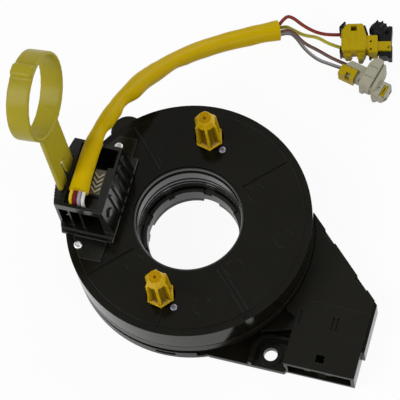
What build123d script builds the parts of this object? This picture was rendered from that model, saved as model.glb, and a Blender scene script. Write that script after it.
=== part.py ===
from build123d import *
import math
import os

# A steering clock spring: a rotor that turns on a stator, a flat cable coiled between them,
# a connector tower with its lock tab, and a sleeved lead that ends in two plugs.
# The origin is on the bore axis at the underside, +Z points up the steering shaft, and +X runs
# along the width of the stator's socket. All sizes are in millimetres and degrees.

# Clearances
FIT = 0.3            # beside a piece that is pushed into another
RUN = 0.5            # between the rotor and the stator
SCREW_FIT = 0.05     # round a screw's shank

# Drum
RIM_RADIUS = 54.0
FACE_HEIGHT = 30.0   # rotor's face above the underside
FACE_PLATE = 3.0
RIM_STEP = 3.4
RIM_DROP = 0.7
SKIRT_WALL = 1.0
BORE_RADIUS = 20.5

# Stator drum
DRUM_WALL = 2.0
DRUM_FLOOR = 2.0
BAND_BOTTOM = 9.8
BAND_TOP = 14.8
FOOT_HEIGHT = 6.0
FOOT_WALL = 1.0
COVER_PLATE = 2.4
WINDOW_WIDTH = 9.0
WINDOW_ANGLES = (95.0, 150.0, 210.0, 272.0)
HOOK_DEPTH = 0.7

# Hub sleeve and cancel ring
HUB_BORE = 22.8
HUB_WALL = 2.6
HUB_RIM = 24.2
HUB_RIM_WALL = 0.7
HUB_RIM_DROP = 0.8
HUB_STEP = 1.5
HUB_SHOULDER = 27.4
HUB_SHOULDER_HEIGHT = 1.6
HUB_GROOVE = 0.6
HUB_GROOVE_HEIGHT = 1.6
HUB_GROOVES = 3
RING_HEIGHT = 5.3
RING_LIP = 1.6
# Each gap's angle, width
RING_GAPS = (
    (34.0, 8.0), (87.0, 4.0), (133.0, 3.0), (173.0, 5.0), (214.0, 3.0), (262.0, 6.0), (312.0, 4.0)
)
TOOTH_HEIGHT = 2.0
COVER_NOTCHES = ((84.0, 7.5), (176.0, 5.0), (197.0, 4.0))   # angle, width
NOTCH_DEPTH = 1.2

# Flat cable
CABLE_THICKNESS = 0.5
CABLE_PITCH = 4.2
CABLE_HALF_TURNS = 9
CABLE_HEAD_ROOM = 2.5

# Rotor face
RIB_HEIGHT = 0.6
RIB_WIDTH = 0.8
GROOVE_WIDTH = 1.3
GROOVE_DEPTH = 0.8
RIB_START = 27.0
RIB_PAIR = 2.2
MARK_RADIUS = 3.9
MARK_DEPTH = 0.2
MARKS = ((43.1, 0.2), (26.1, 18.2), (16.7, -37.7), (25.9, -17.6), (-17.2, 26.6), (-17.5, -25.1))
CATCH_ANGLE = -46.5
CATCH_WIDTH = 4.2
CATCH_DEPTH = 3.0
CATCH_RIDGES = 3

# Drive pins
PIN_BACK = (-1.2, RIM_RADIUS - 15.2)
PIN_FRONT = (-2.2, 17.2 - RIM_RADIUS)
PIN_HEIGHT = 21.5
PIN_BASE_RADIUS = 6.4
PIN_BASE_HEIGHT = 1.6
PIN_FOOT_RADIUS = 6.0
PIN_SHOULDER = 17.0          # where its fins end in a cone
PIN_SHOULDER_RADIUS = 5.2
PIN_CORE_RADIUS = 3.4
PIN_CAP_RADIUS = 4.3
PIN_TOP_RADIUS = 3.2
PIN_FINS = 6
PIN_FIN_WIDTH = 1.6
PIN_TURN = 48.0
PIN_HOLE = 0.8
PIN_HOLE_DEPTH = 5.0
PIN_SCREW_OFFSET = 8.6
PIN_SCREW_ANGLE = -32.0

# Pan-head screws
TOWER_SCREW_HEAD = 1.9
PIN_SCREW_HEAD = 1.6
SCREW_HEAD_HEIGHT = 1.2
SCREW_SHANK = 1.0
SCREW_REACH = 2.6
SCREW_RECESS = 0.6

# Stator arm
ARM_HEIGHT = 12.4
ARM_WALL = 1.6
LID_PLATE = 1.6
LID_STEP = 0.5            # how far the lid stands over the socket
ARM_TANGENT = RIM_RADIUS - 4.0   # distance of the arm's long edge from the bore axis
ARM_TANGENT_ANGLE = 46.8
SOCKET_LEFT = RIM_RADIUS + 0.3
SOCKET_WIDTH = 31.4
ARM_RIGHT = SOCKET_LEFT + SOCKET_WIDTH
ARM_FRONT = 5.0 - RIM_RADIUS
SOCKET_DEPTH = 16.0
FLANGE_HEIGHT = 3.0
FLANGE_FRONT = ARM_FRONT - 1.2
SCREW_HOLE_RADIUS = 3.0
SCREW_PAD_RADIUS = 5.2
SCREW_PAD_RISE = 0.8
SCREW_POCKET_RADIUS = 7.0
POCKET_RIB = 1.6
POCKET_RIB_HEIGHT = 6.0
FRONT_HOLE = (RIM_RADIUS - 7.2, 10.2 - RIM_RADIUS)
EAR_HOLE = (10.0 - RIM_RADIUS, RIM_RADIUS - 9.8)
EAR_RADIUS = 7.6
BRIDGE_HEIGHT = 8.6
BRIDGE_BACK = ARM_FRONT + 29.0
BRIDGE_FRONT = ARM_FRONT + 17.0
BRIDGE_CORNER = (SOCKET_LEFT - 14.0, ARM_FRONT + 13.0)
CLIP_LENGTH = 8.0
CLIP_DEPTH = 1.6
CLIP_LEG = 1.0
CLIP_HOOK = 0.8
CLIP_SPOTS = (34.8, 60.8)  # along the arm's long edge from the tangent point
RAIL_DEPTH = 1.3          # rail down the arm's right side
RAIL_END = ARM_FRONT + 13.2
LID_PAD_BACK = ARM_FRONT + 30.5
LID_PAD_CORNER = (1.8, 5.0)
LID_WINDOW = (SOCKET_LEFT + 15.0, ARM_FRONT + 5.6)
LID_WINDOW_SIZE = 3.8
LID_SLOTS = (1.5, 16.0, 17.9)   # from the socket's left side
LID_SLOT_FRONT = ARM_FRONT + 19.0
LID_SLOT_LENGTH = 6.4
LID_SLOT_WIDTH = 0.9
LID_KEYS = (SOCKET_LEFT + 10.7, SOCKET_LEFT + 20.1)
KEY_LENGTH = 3.0
KEY_WIDTH = 2.6
KEY_HEIGHT = 0.9
HEADER_DEPTH = 6.0
STATOR_PINS = 8
BLADE = 0.8
BLADE_REACH = 6.0
ROTOR_BLADE = 3.0
BLADE_PITCH = 4.0

# Connector tower
TOWER_TOP = 54.0
TOWER_RADIUS = RIM_RADIUS + 1.5
TOWER_FRONT = -15.6
TOWER_BACK = 16.2
TOWER_RIGHT = -31.6
TOWER_FOOT = 2.8          # how far the right face spreads to its foot
LEDGE_HEIGHT = 3.0
LEDGE_DEPTH = 2.0
TOWER_FLANGE = 1.6
FLANGE_FRONT_LIP = 3.8
FLANGE_BACK_LIP = 5.2
TAB_PLATE = 1.0
FRONT_SCREW = (10.8 - RIM_RADIUS, -23.6)
BACK_SCREW = (15.2 - RIM_RADIUS, 25.0)
SCREW_TAB = 5.4
TROUGH_LEFT = -49.4
TROUGH_WIDTH = 14.4
TROUGH_FRONT = -14.2
TROUGH_BACK = 14.6
TROUGH_DEPTH = 3.6
WELL_LEFT = -41.6
WELL_FRONT = 5.8
WELL_WALL = 1.0
WELL_DEPTH = 13.0
POCKET_BOTTOM = 33.0
POCKET_TOP = 49.2
POCKETS = ((-52.0, 4.2, 5.0), (-47.0, 4.2, 9.0), (-42.0, 8.6, 9.0))   # left edge, width, depth
FACE_RIBS = 5
FACE_RIB_PITCH = 4.6
FACE_RIB_WIDTH = 1.4
FACE_RIB_HEIGHT = 0.8
FACE_RIB_TOP = 2.4
DIAMOND = 3.4
DIAMOND_Y = -11.0
DIAMOND_Z = 46.0
LOUVRES = 4
LOUVRE_WIDTH = 0.7

# Terminal block in the trough
BLOCK_WIDTH = 4.8
BLOCK_LENGTH = 11.4
BLOCK_FRONT = -7.0
CHEVRONS = 4
CHEVRON_WIDTH = 0.9
CHEVRON_HEIGHT = 0.7

# Lock tab
TAB_FOOT = (-52.1, -1.2)   # where its middle leaves the tower's top
TAB_TILT_X = -10.84
TAB_TILT_Y = -8.13
TAB_THICKNESS = 2.4
TAB_WIDTH = 16.4
TAB_SLOT = 2.8
TAB_SLOT_TOP = 11.0
TAB_SHOULDER = 1.2        # how far its full width goes down into the tower
TAB_LEG_INSET = 3.0
TAB_REACH = 12.0          # how far the legs go down into the tower
LOOP_CENTRE = 56.5        # along the tab above the tower
LOOP_RADIUS = 19.0
LOOP_WIDTH = 10.0
LOOP_WALL = 1.8
RIDGE_WIDTH = 5.6
RIDGE_HEIGHT = 1.7
RIDGE_ANGLE = -8.3

# Lead: each route is a list of corners that its runs round off
SLEEVE_DIAMETER = 8.2
WIRE_DIAMETER = 1.6
SLEEVE_ROUTE = (
    (-43.7, -8.8, 57.2),
    (-43.7, 5.6, 57.2),
    (-43.0, 19.0, 56.8),
    (-40.8, 32.4, 53.4),
    (-36.2, 48.6, 46.0),
    (-28.8, 65.6, 36.4),
    (-17.4, 82.2, 26.6),
    (-2.0, 94.2, 20.6),
    (13.0, 101.7, 18.1),
)
NEAR_WIRE_ROUTES = {
    "near_wire_yellow": (
        (-46.4, -8.8, 57.2), (-46.4, -11.4, 57.2), (-46.4, -13.0, 54.6), (-46.4, -13.0, 50.4)
    ),
    "near_wire_red": ((-44.6, -8.8, 57.2), (-44.6, -11.4, 57.2), (-44.6, -13.0, 54.6), (-44.6, -13.0, 50.4)),
    "near_wire_lilac": (
        (-42.8, -8.8, 57.2), (-42.8, -11.4, 57.2), (-42.8, -13.0, 54.6), (-42.8, -13.0, 50.4)
    ),
    "near_wire_white": (
        (-41.0, -8.8, 57.2), (-41.0, -11.4, 57.2), (-41.0, -13.0, 54.6), (-41.0, -13.0, 50.4)
    ),
}
FAR_WIRE_ROUTES = {
    "wire_brown": (
        (12.56, 103.1, 19.66), (18.56, 106.1, 18.66),
        (26.0, 110.6, 11.6), (33.0, 110.5, 4.8), (39.0, 112.0, 4.8),
    ),
    "wire_striped": (
        (12.04, 103.1, 16.54), (18.04, 106.1, 15.54),
        (25.8, 106.2, 9.2), (33.8, 103.9, 4.8), (40.6, 105.6, 4.8),
    ),
    "wire_grey_brown": (
        (13.96, 100.3, 19.66), (19.96, 103.3, 18.66),
        (28.2, 103.4, 10.6), (37.7, 100.1, 4.0), (45.3, 98.2, 4.0),
    ),
    "wire_grey": (
        (13.44, 100.3, 16.54), (19.44, 103.3, 15.54),
        (27.2, 100.8, 8.6), (37.1, 97.7, 4.0), (44.7, 95.8, 4.0),
    ),
}

# Plugs, each in its own frame: X along it from the wires to the mouth, Z up from the surface
YELLOW_PLACE = (39.8, 108.8)
YELLOW_AHEAD = (4.0, 1.0)
YELLOW_BODY = (9.9, 13.6, 9.5)
YELLOW_CHEEK = (1.6, 5.6)         # how far the front cheek runs on and comes in
YELLOW_FOOT = (7.2, 10.6, 2.0, 5.0)   # its ends, how far it stands out, and its height
YELLOW_ARCH = (4.6, 6.9, 2.4)
YELLOW_ROOT = (16.5, -6.8, 1.2)   # its front, and its two sides
YELLOW_NOSE = (22.5, -6.2, -1.9)
YELLOW_NOSE_HEIGHT = 6.4
YELLOW_WINDOW = 2.4
GREY_PLACE = (45.0, 97.0)
GREY_AHEAD = (4.0, -1.0)
GREY_BODY = (9.4, 6.0, 6.2)
GREY_SHELF = (7.4, 4.4, 5.4)      # the lower step that carries the clip
GREY_FLANGE = (7.0, 15.0, 9.0)
GREY_FLANGE_SIDE = 1.5
GREY_NOSE = (6.1, 8.3, 6.2)
GREY_NOSE_SIDE = -3.4
GREY_CLIP_OVERHANG = 1.6
PLUG_WALL = 1.0
PLUG_TRAVEL = 2.0

# Worked out from the sizes above
DRUM_OUTER = RIM_RADIUS - SKIRT_WALL - RUN
DRUM_INNER = DRUM_OUTER - DRUM_WALL
DRUM_TOP = FACE_HEIGHT - FACE_PLATE - RUN
FLOOR_TOP = COVER_PLATE + DRUM_FLOOR
FOOT_INNER = DRUM_OUTER + FIT
FOOT_OUTER = FOOT_INNER + FOOT_WALL
PLATE_BOTTOM = FACE_HEIGHT - FACE_PLATE
HUB_OUTER = HUB_BORE + HUB_WALL
FLOOR_HOLE = HUB_OUTER + RUN
DISC_HOLE = HUB_RIM + FIT
RING_BOTTOM = COVER_PLATE + FIT
RING_TOP = RING_BOTTOM + RING_HEIGHT
STEP_RADIUS = RIM_RADIUS - RIM_STEP
LID_BOTTOM = ARM_HEIGHT - LID_STEP - LID_PLATE
LID_TOP = LID_BOTTOM + LID_PLATE
LID_INNER = RIM_RADIUS + FIT
TROUGH_FLOOR = TOWER_TOP - TROUGH_DEPTH
TROUGH_RIGHT = TROUGH_LEFT + TROUGH_WIDTH
TAB_FRAME = Pos(*TAB_FOOT, TOWER_TOP) * Rot(TAB_TILT_X, TAB_TILT_Y, 0)
EDGE_DIRECTION = Vector(1, 0, 0).rotate(Axis.Z, ARM_TANGENT_ANGLE - 90)
EDGE_START = Vector(ARM_TANGENT, 0, 0).rotate(Axis.Z, ARM_TANGENT_ANGLE)
FAR = 200.0               # longer than anything that it cuts


def block(x, y, z):
    """A box between the pairs of limits x, y and z."""
    size = (x[1] - x[0], y[1] - y[0], z[1] - z[0])
    return Pos(x[0], y[0], z[0]) * Box(*size, align=(Align.MIN, Align.MIN, Align.MIN))


def post(radius, bottom, top, place=(0, 0)):
    """An upright cylinder between two heights."""
    return Pos(*place, bottom) * Cylinder(radius, top - bottom, align=(Align.CENTER, Align.CENTER, Align.MIN))


def ring(inner, outer, bottom, top, place=(0, 0)):
    """An upright ring between two radii and two heights."""
    return post(outer, bottom, top, place) - post(inner, bottom - 1, top + 1, place)


def turned(points):
    """A solid of revolution from the radius and height of each corner of its section."""
    outline = Polyline(*[(r, 0, z) for r, z in points], close=True)
    return revolve(make_face(outline), Axis.Z)


def prism(points, bottom, top):
    """An upright prism over a plan outline."""
    return extrude(Pos(0, 0, bottom) * make_face(Polyline(*points, close=True)), top - bottom)


def edge_point(along, outwards=0.0):
    """A plan point beside the arm's long edge, from its tangent point."""
    out = EDGE_START.normalized()
    point = EDGE_START + EDGE_DIRECTION * along + out * outwards
    return (point.X, point.Y)


def arm_corner():
    """The plan point where the arm's long edge meets its right side."""
    along = (ARM_RIGHT - EDGE_START.X) / EDGE_DIRECTION.X
    return edge_point(along)


def arm_outline(inset=0.0):
    """The arm's plan, drawn in from its outer walls by inset."""
    corner = arm_corner()
    slip = inset * math.tan(math.radians(ARM_TANGENT_ANGLE) / 2)
    return (
        (0, 0),
        edge_point(0, -inset),
        (ARM_RIGHT - inset, corner[1] - slip),
        (ARM_RIGHT - inset, ARM_FRONT),
        (SOCKET_LEFT + inset, ARM_FRONT),
        (SOCKET_LEFT + inset, ARM_FRONT + SOCKET_DEPTH + HEADER_DEPTH),
    )


def beside_edge(inner, outer, bottom, top, grow=0.0):
    """Blocks at the snap clips' places along the arm's long edge, between two distances from it."""
    half = CLIP_LENGTH / 2 + grow
    blocks = Part()
    for spot in CLIP_SPOTS:
        corners = (
            edge_point(spot - half, inner),
            edge_point(spot + half, inner),
            edge_point(spot + half, outer),
            edge_point(spot - half, outer),
        )
        blocks += prism(corners, bottom, top)
    return blocks


def foot_windows(grow=0.0):
    """Blocks at the places round the foot where the cover snaps on."""
    half = WINDOW_WIDTH / 2 - grow
    window = block(
        (DRUM_OUTER - 1, FOOT_OUTER + 1), (-half, half), (COVER_PLATE + grow, FOOT_HEIGHT - 1 - grow)
    )
    return [Rot(0, 0, angle) * window for angle in WINDOW_ANGLES]


def drum_form():
    """The drum's solid of revolution."""
    return turned((
        (FLOOR_HOLE, COVER_PLATE),
        (DRUM_OUTER, COVER_PLATE),
        (DRUM_OUTER, BAND_BOTTOM),
        (RIM_RADIUS, BAND_BOTTOM),
        (RIM_RADIUS, BAND_TOP),
        (DRUM_OUTER, BAND_TOP),
        (DRUM_OUTER, DRUM_TOP),
        (DRUM_INNER, DRUM_TOP),
        (DRUM_INNER, FLOOR_TOP),
        (FLOOR_HOLE, FLOOR_TOP),
    ))


def clear_of_drum(solid):
    """A piece of the stator cut where it meets the drum and the bottom cover."""
    solid -= post(DRUM_OUTER, -1, FACE_HEIGHT)
    solid -= post(RIM_RADIUS, BAND_BOTTOM, BAND_TOP)
    return solid - post(FOOT_OUTER + FIT, -1, COVER_PLATE)


def make_stator():
    """The stator's drum with the mounting ear behind it."""
    ear_neck = Pos(*EAR_HOLE) * Rot(0, 0, 45) * Box(
        2 * EAR_RADIUS, 3 * EAR_RADIUS, FLANGE_HEIGHT, align=(Align.CENTER, Align.MAX, Align.MIN)
    )
    ear = post(EAR_RADIUS, 0, FLANGE_HEIGHT, EAR_HOLE) + ear_neck
    ear -= post(DRUM_OUTER - 1, -1, FACE_HEIGHT)
    ear -= post(FOOT_OUTER + FIT, -1, COVER_PLATE)
    ear -= post(SCREW_HOLE_RADIUS, -1, ARM_HEIGHT, EAR_HOLE)
    hooks = [
        piece & ring(DRUM_OUTER - 1, DRUM_OUTER + HOOK_DEPTH, 0, FACE_HEIGHT) for piece in foot_windows(FIT)
    ]
    return drum_form() + ear + hooks


def screw_pocket(grow=0.0):
    """The open-fronted pocket round the front screw hole, in the corner beside the socket."""
    x, y = FRONT_HOLE
    radius = SCREW_POCKET_RADIUS + grow
    pocket = post(radius, FLANGE_HEIGHT, ARM_HEIGHT, FRONT_HOLE)
    pocket += block((x - radius, x), (FLANGE_FRONT - 1, y), (FLANGE_HEIGHT, ARM_HEIGHT))
    return pocket + block((x, SOCKET_LEFT), (FLANGE_FRONT - 1, y + radius), (FLANGE_HEIGHT, ARM_HEIGHT))


def make_socket_arm():
    """The arm with the stator's socket, its rail, the mounting flange and the bridge to the drum."""
    arm = prism(arm_outline(), 0, LID_BOTTOM)
    inside = prism(arm_outline(ARM_WALL), ARM_WALL, LID_BOTTOM + 1)
    inside -= post(RIM_RADIUS + ARM_WALL, 0, LID_BOTTOM + 1)
    mouth = block(
        (SOCKET_LEFT + ARM_WALL, ARM_RIGHT - ARM_WALL),
        (ARM_FRONT - 1, ARM_FRONT + 1), (ARM_WALL, LID_BOTTOM + 1)
    )
    arm -= inside + mouth
    arm -= beside_edge(-CLIP_DEPTH, CLIP_DEPTH, BAND_BOTTOM - 1, LID_BOTTOM + 1)
    corner = arm_corner()
    rail = prism(
        (
            (ARM_RIGHT, RAIL_END), (ARM_RIGHT + RAIL_DEPTH, RAIL_END),
            (ARM_RIGHT + RAIL_DEPTH, corner[1] - RAIL_DEPTH),
            (ARM_RIGHT, corner[1]),
        ),
        0, LID_BOTTOM,
    )
    flange = prism(
        (
            (0, 0), (0, FLANGE_FRONT), (SOCKET_LEFT, FLANGE_FRONT),
            (SOCKET_LEFT + ARM_WALL, ARM_FRONT + 1), (SOCKET_LEFT, 0)
        ),
        0, FLANGE_HEIGHT,
    )
    flange += post(SCREW_PAD_RADIUS, 0, FLANGE_HEIGHT + SCREW_PAD_RISE, FRONT_HOLE)
    pocket_rib = screw_pocket(POCKET_RIB) & block(
        (0, SOCKET_LEFT), (FLANGE_FRONT, 0), (FLANGE_HEIGHT, POCKET_RIB_HEIGHT)
    )
    bridge = prism(
        ((0, 0), (SOCKET_LEFT, BRIDGE_BACK), (SOCKET_LEFT, BRIDGE_FRONT), BRIDGE_CORNER), 0, BRIDGE_HEIGHT
    )
    bridge += pocket_rib
    bridge -= screw_pocket()
    return clear_of_drum(arm + rail + flange + bridge) - post(SCREW_HOLE_RADIUS, -1, ARM_HEIGHT, FRONT_HOLE)


def make_bottom_cover():
    """The round cover that snaps over the drum's foot, open where the arm and ear leave it."""
    cover = ring(BORE_RADIUS, FOOT_OUTER, 0, COVER_PLATE)
    for angle, width in COVER_NOTCHES:
        cover -= radial(angle, BORE_RADIUS - 1, BORE_RADIUS + NOTCH_DEPTH, width, -1, COVER_PLATE + 1)
    wall = ring(FOOT_INNER, FOOT_OUTER, COVER_PLATE, FOOT_HEIGHT)
    for window in foot_windows():
        wall -= window
    corner = arm_corner()
    opening = prism(
        (
            (0, 0), edge_point(0, FIT), (corner[0], corner[1] + FIT),
            (corner[0], FLANGE_FRONT - 1 - FIT), (0, FLANGE_FRONT - 1 - FIT)
        ),
        COVER_PLATE, FOOT_HEIGHT + 1,
    )
    ear_gap = Pos(0, 0, COVER_PLATE) * Rot(0, 0, 45) * Box(
        2 * (EAR_RADIUS + FIT), FAR, FAR, align=(Align.CENTER, Align.MIN, Align.MIN)
    )
    return cover + (wall - opening - ear_gap)


def make_arm_lid():
    """The flat lid that snaps onto the arm, with its raised pad, keys, slots and latch window."""
    lid = prism(arm_outline(), LID_BOTTOM, LID_TOP)
    chamfer_x, chamfer_y = LID_PAD_CORNER
    lid += prism(
        (
            (SOCKET_LEFT, ARM_FRONT), (ARM_RIGHT, ARM_FRONT), (ARM_RIGHT, LID_PAD_BACK),
            (SOCKET_LEFT + chamfer_x, LID_PAD_BACK), (SOCKET_LEFT, LID_PAD_BACK - chamfer_y),
        ),
        LID_TOP, ARM_HEIGHT,
    )
    lid -= beside_edge(-CLIP_DEPTH, CLIP_DEPTH, LID_BOTTOM - 1, ARM_HEIGHT + 1)
    half = LID_WINDOW_SIZE / 2
    lid -= Pos(*LID_WINDOW, ARM_HEIGHT) * Box(2 * half, 2 * half, 2 * ARM_HEIGHT)
    for offset in LID_SLOTS:
        left = SOCKET_LEFT + offset
        lid -= block(
            (left, left + LID_SLOT_WIDTH), (LID_SLOT_FRONT, LID_SLOT_FRONT + LID_SLOT_LENGTH),
            (LID_TOP - LID_STEP, ARM_HEIGHT + 1)
        )
    for x in LID_KEYS:
        lid += block(
            (x - KEY_WIDTH / 2, x + KEY_WIDTH / 2), (ARM_FRONT, ARM_FRONT + KEY_LENGTH),
            (LID_BOTTOM - KEY_HEIGHT, LID_BOTTOM)
        )
    lid += beside_edge(-CLIP_DEPTH - CLIP_LEG, -CLIP_DEPTH, BAND_BOTTOM - 1 + FIT, LID_BOTTOM, -FIT)
    lid += beside_edge(-CLIP_DEPTH, -CLIP_DEPTH + CLIP_HOOK, BAND_BOTTOM - 1 + FIT, LID_BOTTOM - FIT, -FIT)
    return lid - post(LID_INNER, 0, ARM_HEIGHT + 1)


def stator_pin_places():
    """The X of each blade in the stator's socket."""
    width = ARM_RIGHT - SOCKET_LEFT - 2 * ARM_WALL
    pitch = width / (STATOR_PINS + 1)
    return [SOCKET_LEFT + ARM_WALL + pitch * (i + 1) for i in range(STATOR_PINS)]


def make_stator_header():
    """The block that closes the socket behind its blades."""
    back = ARM_FRONT + SOCKET_DEPTH
    header = block(
        (SOCKET_LEFT + ARM_WALL + FIT, ARM_RIGHT - ARM_WALL - FIT),
        (back, back + HEADER_DEPTH), (ARM_WALL, LID_BOTTOM)
    )
    middle = (ARM_WALL + LID_BOTTOM) / 2
    for x in stator_pin_places():
        header -= block(
            (x - BLADE / 2, x + BLADE / 2), (back - 1, back + HEADER_DEPTH + 1),
            (middle - BLADE / 2, middle + BLADE / 2)
        )
    return header


def make_stator_blades():
    """The socket's row of blades."""
    back = ARM_FRONT + SOCKET_DEPTH
    middle = (ARM_WALL + LID_BOTTOM) / 2
    return [
        block(
            (x - BLADE / 2, x + BLADE / 2), (back - BLADE_REACH, back + HEADER_DEPTH),
            (middle - BLADE / 2, middle + BLADE / 2)
        )
        for x in stator_pin_places()
    ]


def make_flat_cable():
    """The flat cable, coiled in half turns that each step in by half the pitch."""
    start = DRUM_INNER - FIT
    step = CABLE_PITCH / 2
    sides = []
    for inset in (0.0, CABLE_THICKNESS):
        edges = []
        for turn in range(CABLE_HALF_TURNS):
            radius = start - turn * step
            centre = -step if turn % 2 else 0.0
            side = -1 if turn % 2 else 1
            reach = radius - inset
            edges.append(
                ThreePointArc(
                    (centre + side * reach, 0), (centre, side * reach), (centre - side * reach, 0)
                )
            )
        sides.append(edges)
    first = Line(sides[0][0] @ 0, sides[1][0] @ 0)
    last = Line(sides[0][-1] @ 1, sides[1][-1] @ 1)
    coil = make_face(Wire(sides[0] + [last] + sides[1] + [first]))
    return extrude(Pos(0, 0, FLOOR_TOP + FIT) * coil, DRUM_TOP - CABLE_HEAD_ROOM - FLOOR_TOP)


def make_hub_sleeve():
    """The grooved sleeve that lines the bore and carries the rotor's disc on its shoulder."""
    rim = FACE_HEIGHT - HUB_RIM_DROP
    sleeve = turned((
        (HUB_BORE, RING_TOP),
        (HUB_OUTER, RING_TOP),
        (HUB_OUTER, PLATE_BOTTOM - HUB_SHOULDER_HEIGHT),
        (HUB_SHOULDER, PLATE_BOTTOM - HUB_SHOULDER_HEIGHT),
        (HUB_SHOULDER, PLATE_BOTTOM),
        (HUB_RIM, PLATE_BOTTOM),
        (HUB_RIM, rim),
        (HUB_RIM - HUB_RIM_WALL, rim),
        (HUB_RIM - HUB_RIM_WALL, rim - HUB_STEP),
        (HUB_BORE, rim - 2 * HUB_STEP),
    ))
    for i in range(HUB_GROOVES):
        bottom = RING_TOP + 3 * HUB_GROOVE_HEIGHT + 2 * HUB_GROOVE_HEIGHT * i
        sleeve -= ring(HUB_BORE - 1, HUB_BORE + HUB_GROOVE, bottom, bottom + HUB_GROOVE_HEIGHT)
    return sleeve


def make_cancel_ring():
    """The toothed ring under the hub."""
    lip_top = RING_TOP + TOOTH_HEIGHT
    body = ring(BORE_RADIUS, HUB_OUTER, RING_BOTTOM, RING_TOP)
    lip = ring(BORE_RADIUS, BORE_RADIUS + RING_LIP, RING_TOP, lip_top)
    for angle, width in RING_GAPS:
        lip -= radial(angle, BORE_RADIUS - RING_LIP, BORE_RADIUS + 2 * RING_LIP, width, RING_TOP, lip_top)
    return body + lip


def radial(angle, start, end, width, bottom, top, side=0.0):
    """A straight bar that points away from the bore."""
    return Rot(0, 0, angle) * block((start, end), (side - width / 2, side + width / 2), (bottom, top))


def pin_screw_places():
    """The plan points of the small screw beside each drive pin."""
    offset = Vector(PIN_SCREW_OFFSET, 0, 0).rotate(Axis.Z, PIN_SCREW_ANGLE)
    return [(place[0] + offset.X, place[1] + offset.Y) for place in (PIN_BACK, PIN_FRONT)]


def tower_screw_places():
    """The plan points of the two screws that hold the tower."""
    return [FRONT_SCREW, BACK_SCREW]


def make_rotor_disc():
    """The rotor's face and skirt, with its ribs, grooves and ejector marks."""
    disc = turned((
        (DISC_HOLE, PLATE_BOTTOM),
        (RIM_RADIUS - SKIRT_WALL, PLATE_BOTTOM),
        (RIM_RADIUS - SKIRT_WALL, BAND_TOP + RUN),
        (RIM_RADIUS, BAND_TOP + RUN),
        (RIM_RADIUS, FACE_HEIGHT - RIM_DROP),
        (STEP_RADIUS, FACE_HEIGHT - RIM_DROP),
        (STEP_RADIUS, FACE_HEIGHT),
        (DISC_HOLE, FACE_HEIGHT),
    ))
    for angle in (45, 225):
        disc -= radial(
            angle, RIB_START, STEP_RADIUS + 1, GROOVE_WIDTH, FACE_HEIGHT - GROOVE_DEPTH, FACE_HEIGHT + 1
        )
    for side in (-RIB_PAIR / 2, RIB_PAIR / 2):
        disc += radial(
            -45, RIB_START, STEP_RADIUS, RIB_WIDTH, PLATE_BOTTOM + 1, FACE_HEIGHT + RIB_HEIGHT, side
        )
    disc += radial(134, RIB_START, STEP_RADIUS, RIB_WIDTH / 2, PLATE_BOTTOM + 1, FACE_HEIGHT + RIB_HEIGHT / 2)
    disc += radial(
        -90, PIN_BASE_RADIUS + FIT - PIN_FRONT[1], STEP_RADIUS,
        RIB_WIDTH, PLATE_BOTTOM + 1, FACE_HEIGHT + RIB_HEIGHT
    )
    for place in MARKS:
        disc -= post(MARK_RADIUS, FACE_HEIGHT - MARK_DEPTH, FACE_HEIGHT + 1, place)
    catch = block(
        (RIM_RADIUS - CATCH_DEPTH, RIM_RADIUS),
        (-CATCH_WIDTH / 2, CATCH_WIDTH / 2), (PLATE_BOTTOM + 1, FACE_HEIGHT)
    )
    pitch = CATCH_DEPTH / CATCH_RIDGES
    for i in range(CATCH_RIDGES):
        start = RIM_RADIUS - CATCH_DEPTH + pitch * i
        catch += block(
            (start, start + pitch / 2), (-CATCH_WIDTH / 2, CATCH_WIDTH / 2),
            (FACE_HEIGHT - 1, FACE_HEIGHT + RIB_HEIGHT)
        )
    disc += (Rot(0, 0, CATCH_ANGLE) * catch) & post(RIM_RADIUS, 0, TOWER_TOP)
    for place in pin_screw_places() + tower_screw_places():
        disc -= post(SCREW_SHANK + SCREW_FIT, PLATE_BOTTOM - 1, FACE_HEIGHT + 1, place)
    return disc


def make_drive_pin(place):
    """A round pin with six tapered fins and a coned cap, which turns with the steering wheel."""
    pin = extrude(Rot(0, 0, PIN_TURN) * RegularPolygon(PIN_BASE_RADIUS, PIN_FINS), PIN_BASE_HEIGHT)
    pin += turned((
        (0, 0),
        (PIN_CORE_RADIUS, 0),
        (PIN_CORE_RADIUS, PIN_SHOULDER),
        (PIN_CAP_RADIUS, PIN_SHOULDER),
        (PIN_TOP_RADIUS, PIN_HEIGHT),
        (0, PIN_HEIGHT),
    ))
    outline = Polyline(
        (0, 0, 0),
        (PIN_FOOT_RADIUS, 0, 0),
        (PIN_SHOULDER_RADIUS, 0, PIN_SHOULDER),
        (PIN_TOP_RADIUS - PIN_FIN_WIDTH / 4, 0, PIN_HEIGHT),
        (0, 0, PIN_HEIGHT),
        close=True,
    )
    fin = Pos(0, PIN_FIN_WIDTH / 2, 0) * extrude(make_face(outline), PIN_FIN_WIDTH, dir=(0, -1, 0))
    for i in range(PIN_FINS):
        pin += Rot(0, 0, PIN_TURN + 360 / PIN_FINS * i) * fin
    pin -= post(PIN_HOLE, PIN_HEIGHT - PIN_HOLE_DEPTH, PIN_HEIGHT + 1)
    return Pos(*place, FACE_HEIGHT) * pin


def make_screw(place, seat, head_radius):
    """A pan-head screw with a cross recess."""
    head = post(head_radius, seat, seat + SCREW_HEAD_HEIGHT, place)
    head = fillet(head.edges().sort_by(Axis.Z)[-1], SCREW_HEAD_HEIGHT / 2)
    head += post(SCREW_SHANK, seat - SCREW_REACH, seat, place)
    for turn in (0, 90):
        head -= Pos(*place, seat + SCREW_HEAD_HEIGHT) * Rot(0, 0, turn) * Box(
            head_radius, SCREW_RECESS, SCREW_RECESS * 2
        )
    return head


def right_face(height):
    """The X of the tower's right face at a height: it leans out to its foot."""
    return TOWER_RIGHT + TOWER_FOOT * (TOWER_TOP - height) / (TOWER_TOP - FACE_HEIGHT)


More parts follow.
